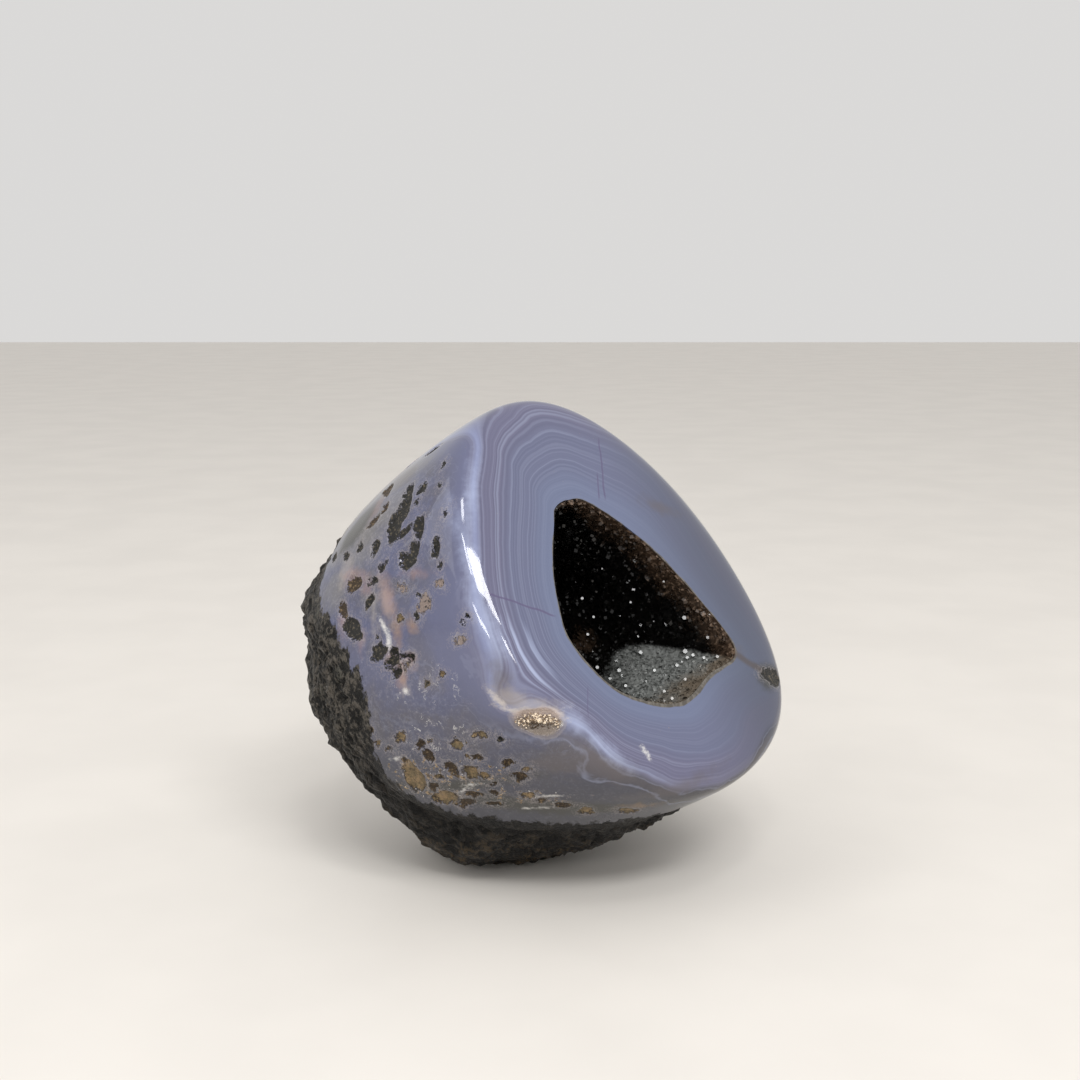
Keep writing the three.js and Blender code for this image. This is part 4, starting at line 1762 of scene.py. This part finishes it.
@dataclass
class Studio:
    """Floor, soft lights and the camera at the photograph's viewing angle."""

    camera_pitch: float = 10
    lens: float = 50
    floor_size: float = 6
    sky: Colour = (0.88, 0.87, 0.86)
    sky_strength: float = 0.8
    lamps: tuple[Lamp, ...] = (
        Lamp("key_strip", tuple(value * MM for value in KEY_LIGHT_PLACE), (0.62, 0.2), 6.0),
        Lamp("crest_panel", (-0.06, -0.84, 0.98), (0.09, 0.26), 1.0),
        Lamp("top_panel", (0.114, -0.563, 1.165), (0.16, 0.16), 1.0),
        Lamp("low_panel", (0.493, -0.916, 0.728), (0.12, 0.12), 0.6),
        Lamp("side_strip", (-0.39, -0.894, 0.447), (0.2, 0.09), 0.7),
        Lamp("left_panel", (-0.9, -0.3, 0.8), (0.8, 0.8), 1.9),
    )

    def floor(self) -> None:
        """The pale floor."""
        bpy.ops.mesh.primitive_plane_add(size=self.floor_size)
        floor = bpy.context.active_object
        floor.name = "floor"
        floor.data.materials.append(FloorFinish().material())

    def world(self) -> None:
        """Even light from all round."""
        world = bpy.data.worlds.new("studio")
        world.use_nodes = True
        background = world.node_tree.nodes["Background"]
        background.inputs["Color"].default_value = (*self.sky, 1)
        background.inputs["Strength"].default_value = self.sky_strength
        bpy.context.scene.world = world

    def camera(self) -> None:
        """The camera."""
        data = bpy.data.cameras.new("camera")
        data.lens = self.lens
        camera = bpy.data.objects.new("camera", data)
        bpy.context.collection.objects.link(camera)
        camera.location = [value * MM for value in CAMERA_PLACE]
        camera.rotation_euler = (math.radians(90 - self.camera_pitch), 0, 0)
        bpy.context.scene.camera = camera

    def build(self) -> None:
        """Sets the stage."""
        bpy.context.scene.view_settings.view_transform = "Standard"
        self.floor()
        self.world()
        for lamp in self.lamps:
            lamp.build()
        self.camera()


def main() -> None:
    """Builds the geode and its stage."""
    stone = StoneForm()
    hollow = Hollow(stone)
    pocket = CrystalPocket()
    nodule = PolishedNodule(stone, hollow, Rind(stone), pocket)
    for part in (nodule, DruzyCrystals(stone, hollow), PocketCrystals(stone, pocket)):
        piece = part.build()
        log.info("%s: %d faces", piece.name, len(piece.data.polygons))
    Studio().build()


if __name__ == "__main__":
    main()
